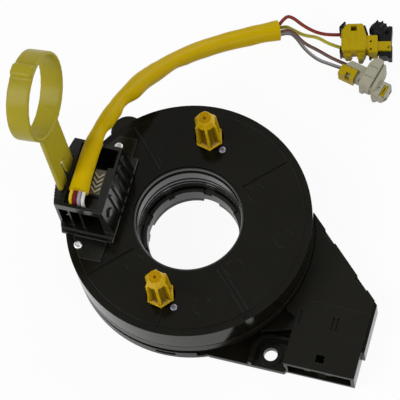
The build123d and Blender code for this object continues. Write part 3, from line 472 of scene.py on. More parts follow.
class Finishes:
    """The finishes of this object."""

    BLACK_GLOSS = MouldedPlastic(
        "black_gloss", shade(18, 17, 11), 0.12, depth=0.000008, clouds=0.3, edge_light=0.2, shine=0.09
    )
    BLACK_SATIN = MouldedPlastic("black_satin", shade(19, 18, 12), 0.3, clouds=0.2, shine=0.1)
    BLACK_HUB = MouldedPlastic("black_hub", shade(24, 24, 20), 0.18, depth=0.000008, clouds=0.3, shine=0.4)
    # A pale grey bead colour on the tower foot's edge: a painted highlight.
    PAINTED_EDGE_HIGHLIGHT = MouldedPlastic("painted_edge_highlight", shade(70, 70, 64), 0.3, edge_light=0.4, shine=0.4)
    BLACK_DEEP = MouldedPlastic(
        "black_deep", shade(13, 13, 9), 0.2, depth=0.000008, clouds=0.25, edge_light=0.7, shine=0.25
    )
    BLACK_LATCH = MouldedPlastic("black_latch", shade(10, 10, 8), 0.3, edge_light=0.2, shine=0.12)
    GREY_RING = MouldedPlastic("grey_ring", shade(50, 50, 47), 0.34, shine=0.3)
    LIGHT_GREY = MouldedPlastic("light_grey", shade(160, 157, 138), 0.45, edge_light=0.25, shine=0.15)
    YELLOW = MouldedPlastic("yellow_plastic", shade(170, 146, 8), 0.42, edge_light=0.2, glow=0.04, shine=0.08)
    PIN_YELLOW = GrooveShadedPlastic("pin_yellow", shade(208, 168, 6), 0.3, edge_light=0.6, glow=0.02, shine=0.12)
    OLIVE = MouldedPlastic(
        "olive_plastic", shade(160, 147, 36), 0.32, edge_light=0.05, glow=0.08, edge_radius=0.0006, shine=0.15
    )
    # The terminal block, with painted shade between its ridges.
    BEIGE = RidgeShadedPlastic("beige_plastic", shade(150, 142, 116), 0.5)
    STEEL = PlatedMetal("screw_steel", (0.80, 0.80, 0.80), 0.28)
    DARK_STEEL = PlatedMetal("dark_steel", (0.20, 0.19, 0.24), 0.4)
    CONTACT = PlatedMetal("contact_metal", (0.78, 0.66, 0.40), 0.25)
    FILM = CableFilm("cable_film", (0.45, 0.24, 0.08), 0.3)
    SLEEVE = SoftTube("sleeve_vinyl", shade(200, 168, 0), 0.36)
    WIRE_YELLOW = SoftTube("wire_yellow", shade(222, 190, 40), 0.4)
    WIRE_RED = SoftTube("wire_red", shade(120, 24, 38), 0.4)
    WIRE_LILAC = SoftTube("wire_lilac", shade(168, 156, 172), 0.4)
    WIRE_WHITE = SoftTube("wire_white", shade(226, 226, 222), 0.4)
    WIRE_BROWN = SoftTube("wire_brown", shade(150, 62, 48), 0.4, stripe=shade(110, 50, 42), stripe_width=0.06)
    WIRE_STRIPED = SoftTube(
        "wire_striped", shade(204, 196, 66), 0.4, stripe=shade(150, 150, 62), stripe_width=0.07
    )
    WIRE_GREY_BROWN = SoftTube(
        "wire_grey_brown", shade(118, 102, 102), 0.4, stripe=shade(96, 60, 50), stripe_width=0.09
    )
    # The grey wire's pale stripe is a painted highlight.
    WIRE_GREY = SoftTube(
        "wire_grey", shade(112, 112, 110), 0.4, stripe=shade(156, 154, 150), stripe_width=0.05
    )


CAD_FINISHES: dict[str, Finish] = {
    "stator_housing": Finishes.BLACK_SATIN,
    "socket_arm": Finishes.BLACK_GLOSS,
    "bottom_cover": Finishes.BLACK_SATIN,
    "arm_lid": Finishes.BLACK_SATIN,
    "stator_header": Finishes.BLACK_DEEP,
    "stator_blades": Finishes.CONTACT,
    "flat_cable": Finishes.FILM,
    "hub_sleeve": Finishes.BLACK_HUB,
    "cancel_ring": Finishes.GREY_RING,
    "rotor_disc": Finishes.BLACK_GLOSS,
    "drive_pin_screws": Finishes.DARK_STEEL,
    "connector_tower": Finishes.BLACK_DEEP,
    "tower_screws": Finishes.STEEL,
    "rotor_blades": Finishes.CONTACT,
    "terminal_block": Finishes.BEIGE,
}


def new_object(name: str, data: bpy.types.ID) -> Piece:
    """Puts new data in the scene as an object.

    Args:
        name: The object's name.
        data: Its mesh, curve, lamp or camera.

    Returns:
        The object.
    """
    made = bpy.data.objects.new(name, data)
    bpy.context.scene.collection.objects.link(made)
    return made


def mesh_object(name: str, shape: Shape) -> Piece:
    """Puts a bmesh in the scene as an object, and frees it.

    Args:
        name: The object's name.
        shape: Its shape, in metres.

    Returns:
        The object.
    """
    data = bpy.data.meshes.new(name)
    shape.to_mesh(data)
    shape.free()
    return new_object(name, data)


def baked(draft: Piece) -> bpy.types.Mesh:
    """The mesh of a working object as it shows in the scene; the object itself is removed.

    Args:
        draft: The working object, with its modifiers.

    Returns:
        Its mesh.
    """
    bpy.context.view_layer.update()
    ready = draft.evaluated_get(bpy.context.evaluated_depsgraph_get())
    mesh = bpy.data.meshes.new_from_object(ready)
    bpy.data.objects.remove(draft)
    return mesh


def add_piece(name: str, shape: Shape, finish: Finish, body: Body) -> Piece:
    """Makes a piece from a finished bmesh.

    Args:
        name: The piece's name.
        shape: Its shape in the row frame, in metres. It is freed here.
        finish: What it is dressed in.
        body: The body that carries it.

    Returns:
        The new object.
    """
    piece = mesh_object(name, shape)
    finish.dress(piece)
    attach(piece, body.value)
    return piece


def shade_smooth(piece: Piece, angle: float) -> None:
    """Smooths a mesh, with edges over an angle in degrees kept sharp."""
    piece.data.shade_smooth()
    piece.data.set_sharp_from_angle(angle=math.radians(angle))


class Moulding:
    """A moulded piece: bars, prisms and posts in millimetres, melted into one, then cut."""

    round_steps = 32
    smooth_share = 0.5
    sharp_angle = 40.0

    def __init__(self, place: Matrix | None = None) -> None:
        """Starts an empty piece.

        Args:
            place: Moves the piece's own frame to the row frame, where it has one.
        """
        self.place = place or Matrix.Identity(4)
        self.solid = bmesh.new()
        self.holes = bmesh.new()

    @staticmethod
    def _soften(shape: Shape, verts: Verts, soft: float) -> Verts:
        """Bevels the edges of some vertices and gives the new ones.

        Args:
            shape: The shape they are in.
            verts: The vertices.
            soft: The bevel's width in millimetres.

        Returns:
            The vertices of the softened form.
        """
        if soft <= 0.0:
            return verts
        edges = list({edge for vert in verts for edge in vert.link_edges})
        return bmesh.ops.bevel(
            shape, geom=edges, offset=soft * MM, offset_type="OFFSET", segments=3, profile=0.5,
            affect="EDGES", material=-1,
        )["verts"]

    def _box(self, shape: Shape, low: Point, high: Point, soft: float = 0.0, turn: float = 0.0) -> Verts:
        """Adds a box between two corners, turned about its own middle.

        Args:
            shape: The shape that takes it.
            low: One corner.
            high: The corner across.
            soft: How soft its edges are.
            turn: Its turn about Z in degrees.

        Returns:
            Its vertices.
        """
        size = [b - a for a, b in zip(low, high)]
        middle = [(a + b) / 2 for a, b in zip(low, high)]
        about_z = Matrix.Rotation(math.radians(turn), 3, "Z")
        verts = bmesh.ops.create_cube(shape, size=1.0)["verts"]
        bmesh.ops.scale(shape, vec=metres(size), verts=verts)
        bmesh.ops.rotate(shape, cent=(0.0, 0.0, 0.0), matrix=about_z, verts=verts)
        bmesh.ops.translate(shape, vec=metres(middle), verts=verts)
        return self._soften(shape, verts, soft)

    def bar(self, low: Point, high: Point, soft: float = 0.35, turn: float = 0.0) -> Verts:
        """Adds a bar with soft edges between two corners."""
        return self._box(self.solid, low, high, soft, turn)

    def bars(self, rows: Sequence[Bar]) -> None:
        """Adds several bars, each given by its corners and the softness of its edges."""
        for low, high, soft in rows:
            self.bar(low, high, soft)

    def cut(self, low: Point, high: Point) -> None:
        """Takes a box away."""
        self._box(self.holes, low, high)

    def prism(self, outline: Outline, low: float, high: float, soft: float = 0.35) -> None:
        """Raises an outline from one height to another.

        Args:
            outline: The corners, in order.
            low: Height of the foot.
            high: Height of the top.
            soft: How soft its edges are.
        """
        corners = [self.solid.verts.new(metres((x, y, low))) for x, y in outline]
        base = self.solid.faces.new(corners)
        made = bmesh.ops.extrude_face_region(self.solid, geom=[base], use_keep_orig=True)["geom"]
        raised = [item for item in made if isinstance(item, bmesh.types.BMVert)]
        bmesh.ops.translate(self.solid, vec=metres((0.0, 0.0, high - low)), verts=raised)
        self._soften(self.solid, corners + raised, soft)

    def post(self, centre: Pair, radius: float, low: float, high: float, soft: float) -> None:
        """Adds an upright post."""
        self._soften(self.solid, self._round(self.solid, centre, radius, low, high), soft)

    def drill(self, centre: Pair, radius: float, low: float, high: float) -> None:
        """Takes an upright hole away."""
        self._round(self.holes, centre, radius, low, high)

    @staticmethod
    def _round(shape: Shape, centre: Pair, radius: float, low: float, high: float) -> Verts:
        """Adds an upright cylinder to a shape.

        Args:
            shape: The shape that takes it.
            centre: Its middle.
            radius: Its radius.
            low: Height of the foot.
            high: Height of the top.

        Returns:
            Its vertices.
        """
        verts = bmesh.ops.create_cone(
            shape, cap_ends=True, segments=Moulding.round_steps, radius1=radius * MM,
            radius2=radius * MM, depth=(high - low) * MM,
        )["verts"]
        bmesh.ops.translate(shape, vec=metres((*centre, (low + high) / 2)), verts=verts)
        return verts

    def piece(self, name: str, finish: Finish, body: Body, grain: float = 0.24, passes: int = 2) -> Piece:
        """Melts the solid into one skin, cuts the holes and makes the piece.

        Args:
            name: The piece's name.
            finish: What it is dressed in.
            body: The body that carries it.
            grain: Size of the skin's squares in millimetres.
            passes: How many times the skin is smoothed.

        Returns:
            The new object.
        """
        for shape in (self.solid, self.holes):
            bmesh.ops.transform(shape, matrix=self.place, verts=shape.verts)
            bmesh.ops.recalc_face_normals(shape, faces=shape.faces)
        draft = mesh_object(name + "_draft", self.solid)
        melt = draft.modifiers.new("melt", "REMESH")
        melt.mode = "VOXEL"
        melt.voxel_size = grain * MM
        melt.use_smooth_shade = True
        soften = draft.modifiers.new("soften", "SMOOTH")
        soften.factor = self.smooth_share
        soften.iterations = passes
        cutter = mesh_object(name + "_cutter", self.holes)
        if cutter.data.polygons:
            cut = draft.modifiers.new("cut", "BOOLEAN")
            cut.operation = "DIFFERENCE"
            cut.solver = "EXACT"
            cut.object = cutter
        skin = bmesh.new()
        skin.from_mesh(baked(draft))
        bpy.data.objects.remove(cutter)
        made = add_piece(name, skin, finish, body)
        shade_smooth(made, self.sharp_angle)
        return made


@dataclass
class Route:
    """A cord's centreline: a spline over the control points that the solid follows too."""

    name: str
    corners: Sequence[Point]
    diameter: float
    steps: int = 16
    round_steps: int = 8
    same_point: float = 1e-7
    sharp_angle: float = 50.0

    def _mesh(self, thick: bool) -> bpy.types.Mesh:
        """The route's mesh, either the bare line or with its round section.

        Args:
            thick: Whether it has its section.

        Returns:
            The mesh.
        """
        data = bpy.data.curves.new(self.name, "CURVE")
        data.dimensions = "3D"
        data.resolution_u = self.steps
        data.use_fill_caps = True
        if thick:
            data.bevel_depth = self.diameter * MM / 2
            data.bevel_resolution = self.round_steps
        spline = data.splines.new("NURBS")
        spline.points.add(len(self.corners) - 1)
        for point, corner in zip(spline.points, self.corners):
            point.co = (*metres(corner), 1.0)
        spline.order_u = 3
        spline.use_endpoint_u = True
        return baked(new_object(self.name, data))

    def line(self) -> list[Vector]:
        """Points along the centreline, in metres.

        Returns:
            The points, from the first corner to the last.
        """
        mesh = self._mesh(False)
        points = [v.co.copy() for v in mesh.vertices]
        bpy.data.meshes.remove(mesh)
        return points

    def length(self) -> float:
        """Length of the centreline in metres."""
        line = self.line()
        return sum((b - a).length for a, b in zip(line, line[1:]))

    def tube(
        self,
        finish: Finish,
        swell: Callable[[float, float], float] | None = None,
        mouth: Pair | None = None,
    ) -> Piece:
        """Makes the cord's tube with a map along and round it.

        Args:
            finish: What it is dressed in.
            swell: Gives the radius factor from the distance along in millimetres and the angle round.
            mouth: Wall and depth in millimetres of the hollow at each end, if it has one.

        Returns:
            The tube, riding on the rotor.
        """
        line = self.line()
        mesh = self._mesh(True)
        shape = bmesh.new()
        shape.from_mesh(mesh)
        bpy.data.meshes.remove(mesh)
        bmesh.ops.remove_doubles(shape, verts=shape.verts, dist=self.same_point)
        ends = [face for face in shape.faces if len(face.verts) > 4]
        places = TubePlaces(line)
        layer = shape.loops.layers.uv.new("tube")
        found = {v: places.of(v.co) for v in shape.verts}
        for face in shape.faces:
            turns = [found[loop.vert][1] for loop in face.loops]
            wraps = max(turns) - min(turns) > 0.5
            for loop, turn in zip(face.loops, turns):
                loop[layer].uv = (found[loop.vert][0], turn + 1.0 if wraps and turn < 0.5 else turn)
        if swell is not None:
            for vert, (along, turn) in found.items():
                centre = places.centre(vert.co)
                vert.co = centre + (vert.co - centre) * swell(along / MM, turn * math.tau)
        bmesh.ops.recalc_face_normals(shape, faces=shape.faces)
        if mouth is not None:
            wall, depth = mouth
            bmesh.ops.inset_individual(shape, faces=ends, thickness=wall * MM, use_even_offset=True)
            for end in ends:
                inward = end.normal * (-depth * MM)
                floor = bmesh.ops.extrude_discrete_faces(shape, faces=[end])["faces"][0]
                bmesh.ops.translate(shape, vec=inward, verts=floor.verts)
        piece = add_piece(self.name + "_cord", shape, finish, Body.ROTOR)
        shade_smooth(piece, self.sharp_angle)
        return piece


class TubePlaces:
    """Finds how far along a line and at what angle round it a point is."""

    def __init__(self, line: Sequence[Vector]) -> None:
        """Works out the distance along the line, and a steady sideways direction at each point.

        Args:
            line: The centreline's points.
        """
        self.line = list(line)
        self.along = [0.0]
        for first, second in zip(self.line, self.line[1:]):
            self.along.append(self.along[-1] + (second - first).length)
        self.ahead = [(b - a).normalized() for a, b in zip(self.line, self.line[1:])]
        self.ahead.append(self.ahead[-1])
        side = self.ahead[0].cross(Vector((0.0, 0.0, 1.0)))
        if side.length < 0.1:
            side = self.ahead[0].cross(Vector((0.0, 1.0, 0.0)))
        self.sides = []
        for way in self.ahead:
            side = (side - way * side.dot(way)).normalized()
            self.sides.append(side)

    def nearest(self, point: Vector) -> int:
        """Number of the nearest point of the line."""
        return min(range(len(self.line)), key=lambda i: (self.line[i] - point).length_squared)

    def centre(self, point: Vector) -> Vector:
        """The nearest point of the line."""
        return self.line[self.nearest(point)]

    def of(self, point: Vector) -> Pair:
        """Distance along in metres, and turns round from 0 to 1.

        Args:
            point: The point, in metres.

        Returns:
            Both, as a pair.
        """
        i = self.nearest(point)
        off = point - self.line[i]
        up = self.ahead[i].cross(self.sides[i])
        return self.along[i], (math.atan2(off.dot(up), off.dot(self.sides[i])) / math.tau) % 1.0


@dataclass
class Lead:
    """The sleeved lead: a vinyl sleeve with four wires at the tower and four to the plugs."""

    sleeve_diameter: float = 8.2
    wire_diameter: float = 1.6
    mouth: Pair = (0.55, 1.6)
    lower_edge_angle: float = 19.0
    sleeve: tuple[Point, ...] = (
        (-43.7, -8.8, 57.2), (-43.7, 5.6, 57.2), (-43.0, 19.0, 56.8), (-40.8, 32.4, 53.4),
        (-36.2, 48.6, 46.0), (-28.8, 65.6, 36.4), (-17.4, 82.2, 26.6), (-2.0, 94.2, 20.6),
        (13.0, 101.7, 18.1),
    )
    creases: tuple[tuple[float, float, float, float], ...] = (
        (30.0, 2.4, 0.10, 5.6), (44.0, 1.8, 0.05, 4.4), (49.0, 2.2, 0.10, 5.8), (78.0, 2.0, 0.05, 4.8),
    )
    near: dict[str, tuple[float, Finish]] = field(default_factory=lambda: {
        "near_wire_yellow": (-46.4, Finishes.WIRE_YELLOW),
        "near_wire_red": (-44.6, Finishes.WIRE_RED),
        "near_wire_lilac": (-42.8, Finishes.WIRE_LILAC),
        "near_wire_white": (-41.0, Finishes.WIRE_WHITE),
    })
    near_path: Outline = ((-7.2, 57.2), (-11.4, 57.2), (-13.0, 54.6), (-13.0, 50.4))
    lower_edge: Outline = (
        (0.0, 4.5), (9.0, 3.9), (22.0, 3.6), (28.0, 2.9), (31.0, 2.9), (35.0, 3.8), (42.0, 3.8),
        (47.0, 2.9), (50.0, 3.0), (58.0, 4.4), (66.0, 4.0), (74.0, 4.3), (86.0, 3.7), (93.0, 4.5),
        (106.0, 5.0), (126.0, 4.9), (133.0, 4.4), (141.0, 4.6),
    )
    upper_edge: Outline = (
        (0.0, 4.1), (22.0, 4.2), (30.0, 3.6), (44.0, 3.7), (54.0, 3.9), (64.0, 4.5), (74.0, 4.1), (82.0, 3.7),
        (94.0, 3.4), (110.0, 3.1), (121.0, 3.5), (131.0, 4.1), (141.0, 4.8),
    )
    far: dict[str, tuple[Finish, str, tuple[Point, ...]]] = field(default_factory=lambda: {
        "wire_brown": (Finishes.WIRE_BROWN, "wire_brown", (
            (12.56, 103.1, 19.66), (14.4, 108.2, 20.4), (17.4, 109.4, 18.4), (22.4, 108.3, 14.0),
            (28.2, 108.4, 9.4), (33.6, 110.3, 5.4), (39.0, 112.0, 4.8),
        )),
        "wire_striped": (Finishes.WIRE_STRIPED, "wire_yellow", (
            (12.04, 103.1, 16.54), (14.8, 105.2, 16.8), (18.6, 105.0, 14.6), (23.6, 104.8, 11.4),
            (29.0, 107.0, 8.0), (35.2, 105.8, 5.2), (40.6, 105.6, 4.8),
        )),
        "wire_grey_brown": (Finishes.WIRE_GREY_BROWN, "wire_grey", (
            (13.96, 100.3, 19.66), (16.8, 102.6, 19.0), (19.8, 103.1, 16.0), (24.4, 100.8, 12.0),
            (31.0, 100.6, 8.0), (38.4, 99.1, 5.0), (45.3, 98.2, 4.0),
        )),
        "wire_grey": (Finishes.WIRE_GREY, "wire_grey", (
            (13.44, 100.3, 16.54), (16.8, 102.6, 16.0), (20.0, 102.7, 14.0), (25.2, 98.8, 10.4),
            (31.6, 96.4, 7.0), (38.0, 96.5, 4.6), (44.7, 95.8, 4.0),
        )),
    })

    def build(self, yellow_plug: list[Piece], grey_plug: list[Piece]) -> None:
        """Makes every cord of the lead.

        Args:
            yellow_plug: The pieces of the plug on the first two wires.
            grey_plug: The pieces of the plug on the other two.
        """
        for name, (x, finish) in self.near.items():
            corners = [(x, y, z) for y, z in self.near_path]
            wire = Route(name, corners, self.wire_diameter)
            self._tube(wire, finish, name.removeprefix("near_"))
        route = Route("cable_sleeve", self.sleeve, self.sleeve_diameter)
        tube = self._tube(route, Finishes.SLEEVE, "yellow_sleeve", swell=self._sleeve_shape, mouth=self.mouth)
        route.length()
        route.line()
        plugs = (yellow_plug, yellow_plug[:1], grey_plug, grey_plug[:1])
        for (name, (finish, slot, corners)), plug in zip(self.far.items(), plugs):
            route = Route(name, corners, self.wire_diameter)
            piece = self._tube(route, finish, slot)
            route.length()
            route.line()

    @staticmethod
    def _tube(route: Route, finish: Finish, slot: str, **shape: Any) -> Piece:
        """Makes a cord's tube, which stands for the solid of the same name.

        Args:
            route: Where the cord runs.
            finish: What it is dressed in.
            slot: Its finish slot; not used.
            shape: The swelling and the hollow ends, where it has them.

        Returns:
            The tube.
        """
        piece = route.tube(finish, **shape)
        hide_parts(route.name)
        return piece

    @staticmethod
    def _reach(edge: Outline, along: float) -> float:
        """How far an edge is from the centreline, eased between the places where it is given.

        Args:
            edge: Places along the sleeve with the distances there.
            along: Where, in millimetres.

        Returns:
            The distance in millimetres.
        """
        for (start, low), (end, high) in zip(edge, edge[1:]):
            if along <= end:
                share = max(0.0, (along - start) / (end - start))
                return low + (high - low) * eased(share)
        return edge[-1][1]

    def _sleeve_shape(self, along: float, angle: float) -> float:
        """The sleeve's radius factor, from its two edges as seen from above, with soft creases on top.

        Args:
            along: Distance along in millimetres.
            angle: Angle round in radians.

        Returns:
            The factor.
        """
        lower = (1.0 + math.cos(angle - math.radians(self.lower_edge_angle))) / 2
        reach = self._reach(self.lower_edge, along) * lower
        reach += self._reach(self.upper_edge, along) * (1.0 - lower)
        creases = 0.0
        for place, width, depth, side in self.creases:
            facing = max(0.0, math.cos(angle - side))
            creases += depth * facing * math.exp(-((along - place) / width) ** 2)
        return reach / (self.sleeve_diameter / 2) - creases


@dataclass
class DrivePin:
    """A finned pin on the rotor's face, which the steering wheel's hub drives round."""

    name: str
    place: Pair
    face: float = 30.0
    base_radius: float = 6.4
    fins: int = 6
    turn: float = 48.0
    fin_half_angle: float = 6.5
    fin_flank: float = 3.5
    hole_radius: float = 0.72
    sharp_angle: float = 30.0
    segments: int = 120
    base_rows: Outline = ((0.0, 1.0), (1.35, 1.0), (1.6, 0.97))
    rows: Rows = (
        (1.61, 3.9, 5.7), (2.2, 3.4, 5.7), (9.0, 3.2, 5.45), (16.0, 3.1, 5.2), (16.7, 3.6, 5.15),
        (17.1, 4.1, 5.0), (17.8, 4.15, 4.75), (20.9, 3.3, 3.4), (21.3, 3.1, 3.15), (21.5, 2.8, 2.8),
        (21.5, 0.72, 0.72), (21.3, 0.7, 0.7), (15.0, 0.5, 0.5),
    )
    cap_bottom: float = 16.5

    def build(self) -> None:
        """Makes the pin by raising a round outline row by row, with painted shade marked between its fins and
        in its top hole.
        """
        shape = bmesh.new()
        # Marks where shade is painted: between the fins and in the top hole.
        groove = shape.verts.layers.float.new("groove")
        made = bmesh.ops.create_circle(
            shape, cap_ends=True, segments=self.segments, radius=self.base_radius * MM
        )
        top = made["verts"][0].link_faces[0]
        for height, share in self.base_rows:
            top = self._raise(shape, top, height, lambda angle, share=share: share * self._corner(angle))
        for height, core, fin in self.rows:
            top = self._raise(
                shape, top, height, lambda angle, core=core, fin=fin: core + (fin - core) * self._fin(angle)
            )
            for vert in top.verts:
                fin = self._fin(math.atan2(vert.co.y, vert.co.x))
                vert[groove] = 1.0 - fin if height < self.cap_bottom else float(core < self.hole_radius)
        for vert in top.verts:
            vert[groove] = 1.0
        bmesh.ops.translate(shape, verts=shape.verts, vec=metres((*self.place, self.face)))
        bmesh.ops.recalc_face_normals(shape, faces=shape.faces)
        piece = add_piece(self.name + "_finned", shape, Finishes.PIN_YELLOW, Body.ROTOR)
        shade_smooth(piece, self.sharp_angle)
        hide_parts(self.name)

    @staticmethod
    def _raise(
        shape: Shape, face: bmesh.types.BMFace, height: float, radius: Callable[[float], float]
    ) -> bmesh.types.BMFace:
        """Extrudes the top outline to a height in millimetres, with the radius given for each angle.

        Args:
            shape: The pin's shape.
            face: Its top face.
            height: The new top's height.
            radius: Gives the radius in millimetres at an angle.

        Returns:
            The new top face.
        """
        made = bmesh.ops.extrude_face_region(shape, geom=[face])
        top = next(item for item in made["geom"] if isinstance(item, bmesh.types.BMFace))
        for vert in top.verts:
            angle = math.atan2(vert.co.y, vert.co.x)
            reach = radius(angle)
            vert.co = metres((reach * math.cos(angle), reach * math.sin(angle), height))
        return top

    def _step(self, angle: float) -> float:
        """Angle in degrees from the nearest fin's middle."""
        pitch = 360.0 / self.fins
        return abs((math.degrees(angle) - self.turn + pitch / 2) % pitch - pitch / 2)

    def _corner(self, angle: float) -> float:
        """The base's radius, a polygon with a corner under each fin."""
        half = math.pi / self.fins
        return self.base_radius * math.cos(half) / math.cos(half - math.radians(self._step(angle)))

    def _fin(self, angle: float) -> float:
        """1 on a fin's edge and 0 between the fins."""
        inside = self.fin_half_angle + self.fin_flank - self._step(angle)
        return eased(min(1.0, max(0.0, inside / self.fin_flank)))


@dataclass
class LockTab:
    """The pull-out lock: a finger loop with a grip ridge, on a tongue that ends in two legs."""

    foot: Point = (-52.1, -1.2, 54.0)
    tilt: Pair = (-10.84, -8.13)
    thickness: float = 2.4
    width: float = 16.4
    slot: Pair = (2.8, 11.0)
    leg_reach: float = 11.8
    leg_width: float = 3.8
    loop_height: float = 56.5
    loop_radius: float = 19.0
    loop_width: float = 10.0
    loop_wall: float = 1.8
    ridge: Point = (6.0, 2.1, -5.5)
    ridge_edge: float = 1.4
    shoulder: Point = (5.0, -4.0, 1.2)
    foot_drop: float = 1.2
    overlap: float = 2.0
    grain: float = 0.45
    passes: int = 5
    soft_edge: float = 0.55

    def build(self) -> None:
        """Makes the parts of the tab and melts them into one moulding."""
        about_x, about_y = (Matrix.Rotation(math.radians(v), 4, axis) for v, axis in zip(self.tilt, "XY"))
        tab = Moulding(Matrix.Translation(metres(self.foot)) @ (about_x @ about_y))
        self._loop(tab.solid)
        self._ridge(tab)
        self._tongue(tab)
        piece = tab.piece("lock_tab_moulding", Finishes.OLIVE, Body.LOCK_TAB, self.grain, self.passes)
        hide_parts("lock_tab")

    def _loop(self, shape: Shape) -> None:
        """The loop: a bar's section spun round the finger hole.

        Args:
            shape: The shape that takes it.
        """
        section = bmesh.new()
        bmesh.ops.create_grid(section, x_segments=1, y_segments=1, size=0.5)
        bmesh.ops.scale(section, vec=(self.loop_width * MM, self.loop_wall * MM, 1.0), verts=section.verts)
        bmesh.ops.bevel(
            section, geom=section.verts[:], offset=self.soft_edge * MM, offset_type="OFFSET", segments=3,
            profile=0.5, affect="VERTICES", material=-1,
        )
        middle = self.loop_radius - self.loop_wall / 2
        bmesh.ops.translate(section, vec=metres((0.0, middle, self.loop_height)), verts=section.verts)
        bmesh.ops.spin(
            section, geom=section.faces[:], cent=metres((0.0, 0.0, self.loop_height)), axis=(1.0, 0.0, 0.0),
            angle=math.tau, steps=72, use_merge=True, use_duplicate=False,
        )
        data = bpy.data.meshes.new("loop_section")
        section.to_mesh(data)
        section.free()
        shape.from_mesh(data)
        bpy.data.meshes.remove(data)

    def _ridge(self, tab: Moulding) -> None:
        """The grip ridge across the top of the loop.

        Args:
            tab: The moulding that takes it.
        """
        width, height, angle = self.ridge
        inner = self.loop_radius - self.loop_wall / 2
        half = self.loop_width / 2
        outer = self.loop_radius + height
        verts = tab.bar((-half, -width / 2, inner), (half, width / 2, outer), self.ridge_edge)
        up = Matrix.Translation(metres((0.0, 0.0, self.loop_height)))
        turn = Matrix.Rotation(math.radians(-angle), 4, "X")
        bmesh.ops.transform(tab.solid, matrix=up @ turn, verts=verts)

    def _tongue(self, tab: Moulding) -> None:
        """The flat tongue, its two feet beside the slot, the legs below and the shoulders under the loop.

        Args:
            tab: The moulding that takes it.
        """
        thick = self.thickness / 2
        half = self.width / 2
        slot, slot_top = self.slot
        shoulder, shoulder_low, shoulder_high = self.shoulder
        join = self.loop_height - self.loop_radius + self.loop_wall
        tab.bar((-thick, -half, slot_top), (thick, half, join - 0.2), self.soft_edge)
        for side in (-1, 1):
            for near, far, low, high in (
                (shoulder, half, join + shoulder_low, join + shoulder_high),
                (slot / 2, half, -self.foot_drop, slot_top + self.overlap),
                (slot / 2, slot / 2 + self.leg_width, -self.leg_reach, self.overlap),
            ):
                start, end = sorted((side * near, side * far))
                tab.bar((-thick, start, low), (thick, end, high), self.soft_edge)


@dataclass
class TowerFoot:
    """A pale bead along the foot of the tower's ribbed face: a painted highlight on its edge."""

    edge: Pair = (-28.6, 31.75)
    ends: Pair = (-19.2, 21.2)
    width: float = 0.42
    soft_edge: float = 0.12
    grain: float = 0.1

    def build(self) -> None:
        """Makes the edge's bead, the painted highlight."""
        x, z = self.edge
        start, end = self.ends
        bead = Moulding()
        bead.bar((x - self.width, start, z - self.width), (x, end, z), self.soft_edge)
        piece = bead.piece("tower_foot_highlight", Finishes.PAINTED_EDGE_HIGHLIGHT, Body.ROTOR, self.grain, 1)


@dataclass
class Plug:
    """A plug in a frame of its own, with X along its nose and Z up from the table."""

    place: Point
    turn: float
    nodes: Nodes
    foot: float = 0.0
    above: float = 12.0

    def build(self) -> list[Piece]:
        """Makes the plug's pieces.

        Returns:
            The pieces in the order of the nodes, the housing first.
        """
        pieces = self.mould()
        for piece, (node, slot) in zip(pieces, self.nodes):
            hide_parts(node)
        return pieces

    def mould(self) -> list[Piece]:
        """Moulds the pieces."""
        raise NotImplementedError

    def moulding(self) -> Moulding:
        """An empty moulding in the plug's frame."""
        turn = Matrix.Rotation(math.radians(self.turn), 4, "Z")
        return Moulding(Matrix.Translation(metres(self.place)) @ turn)


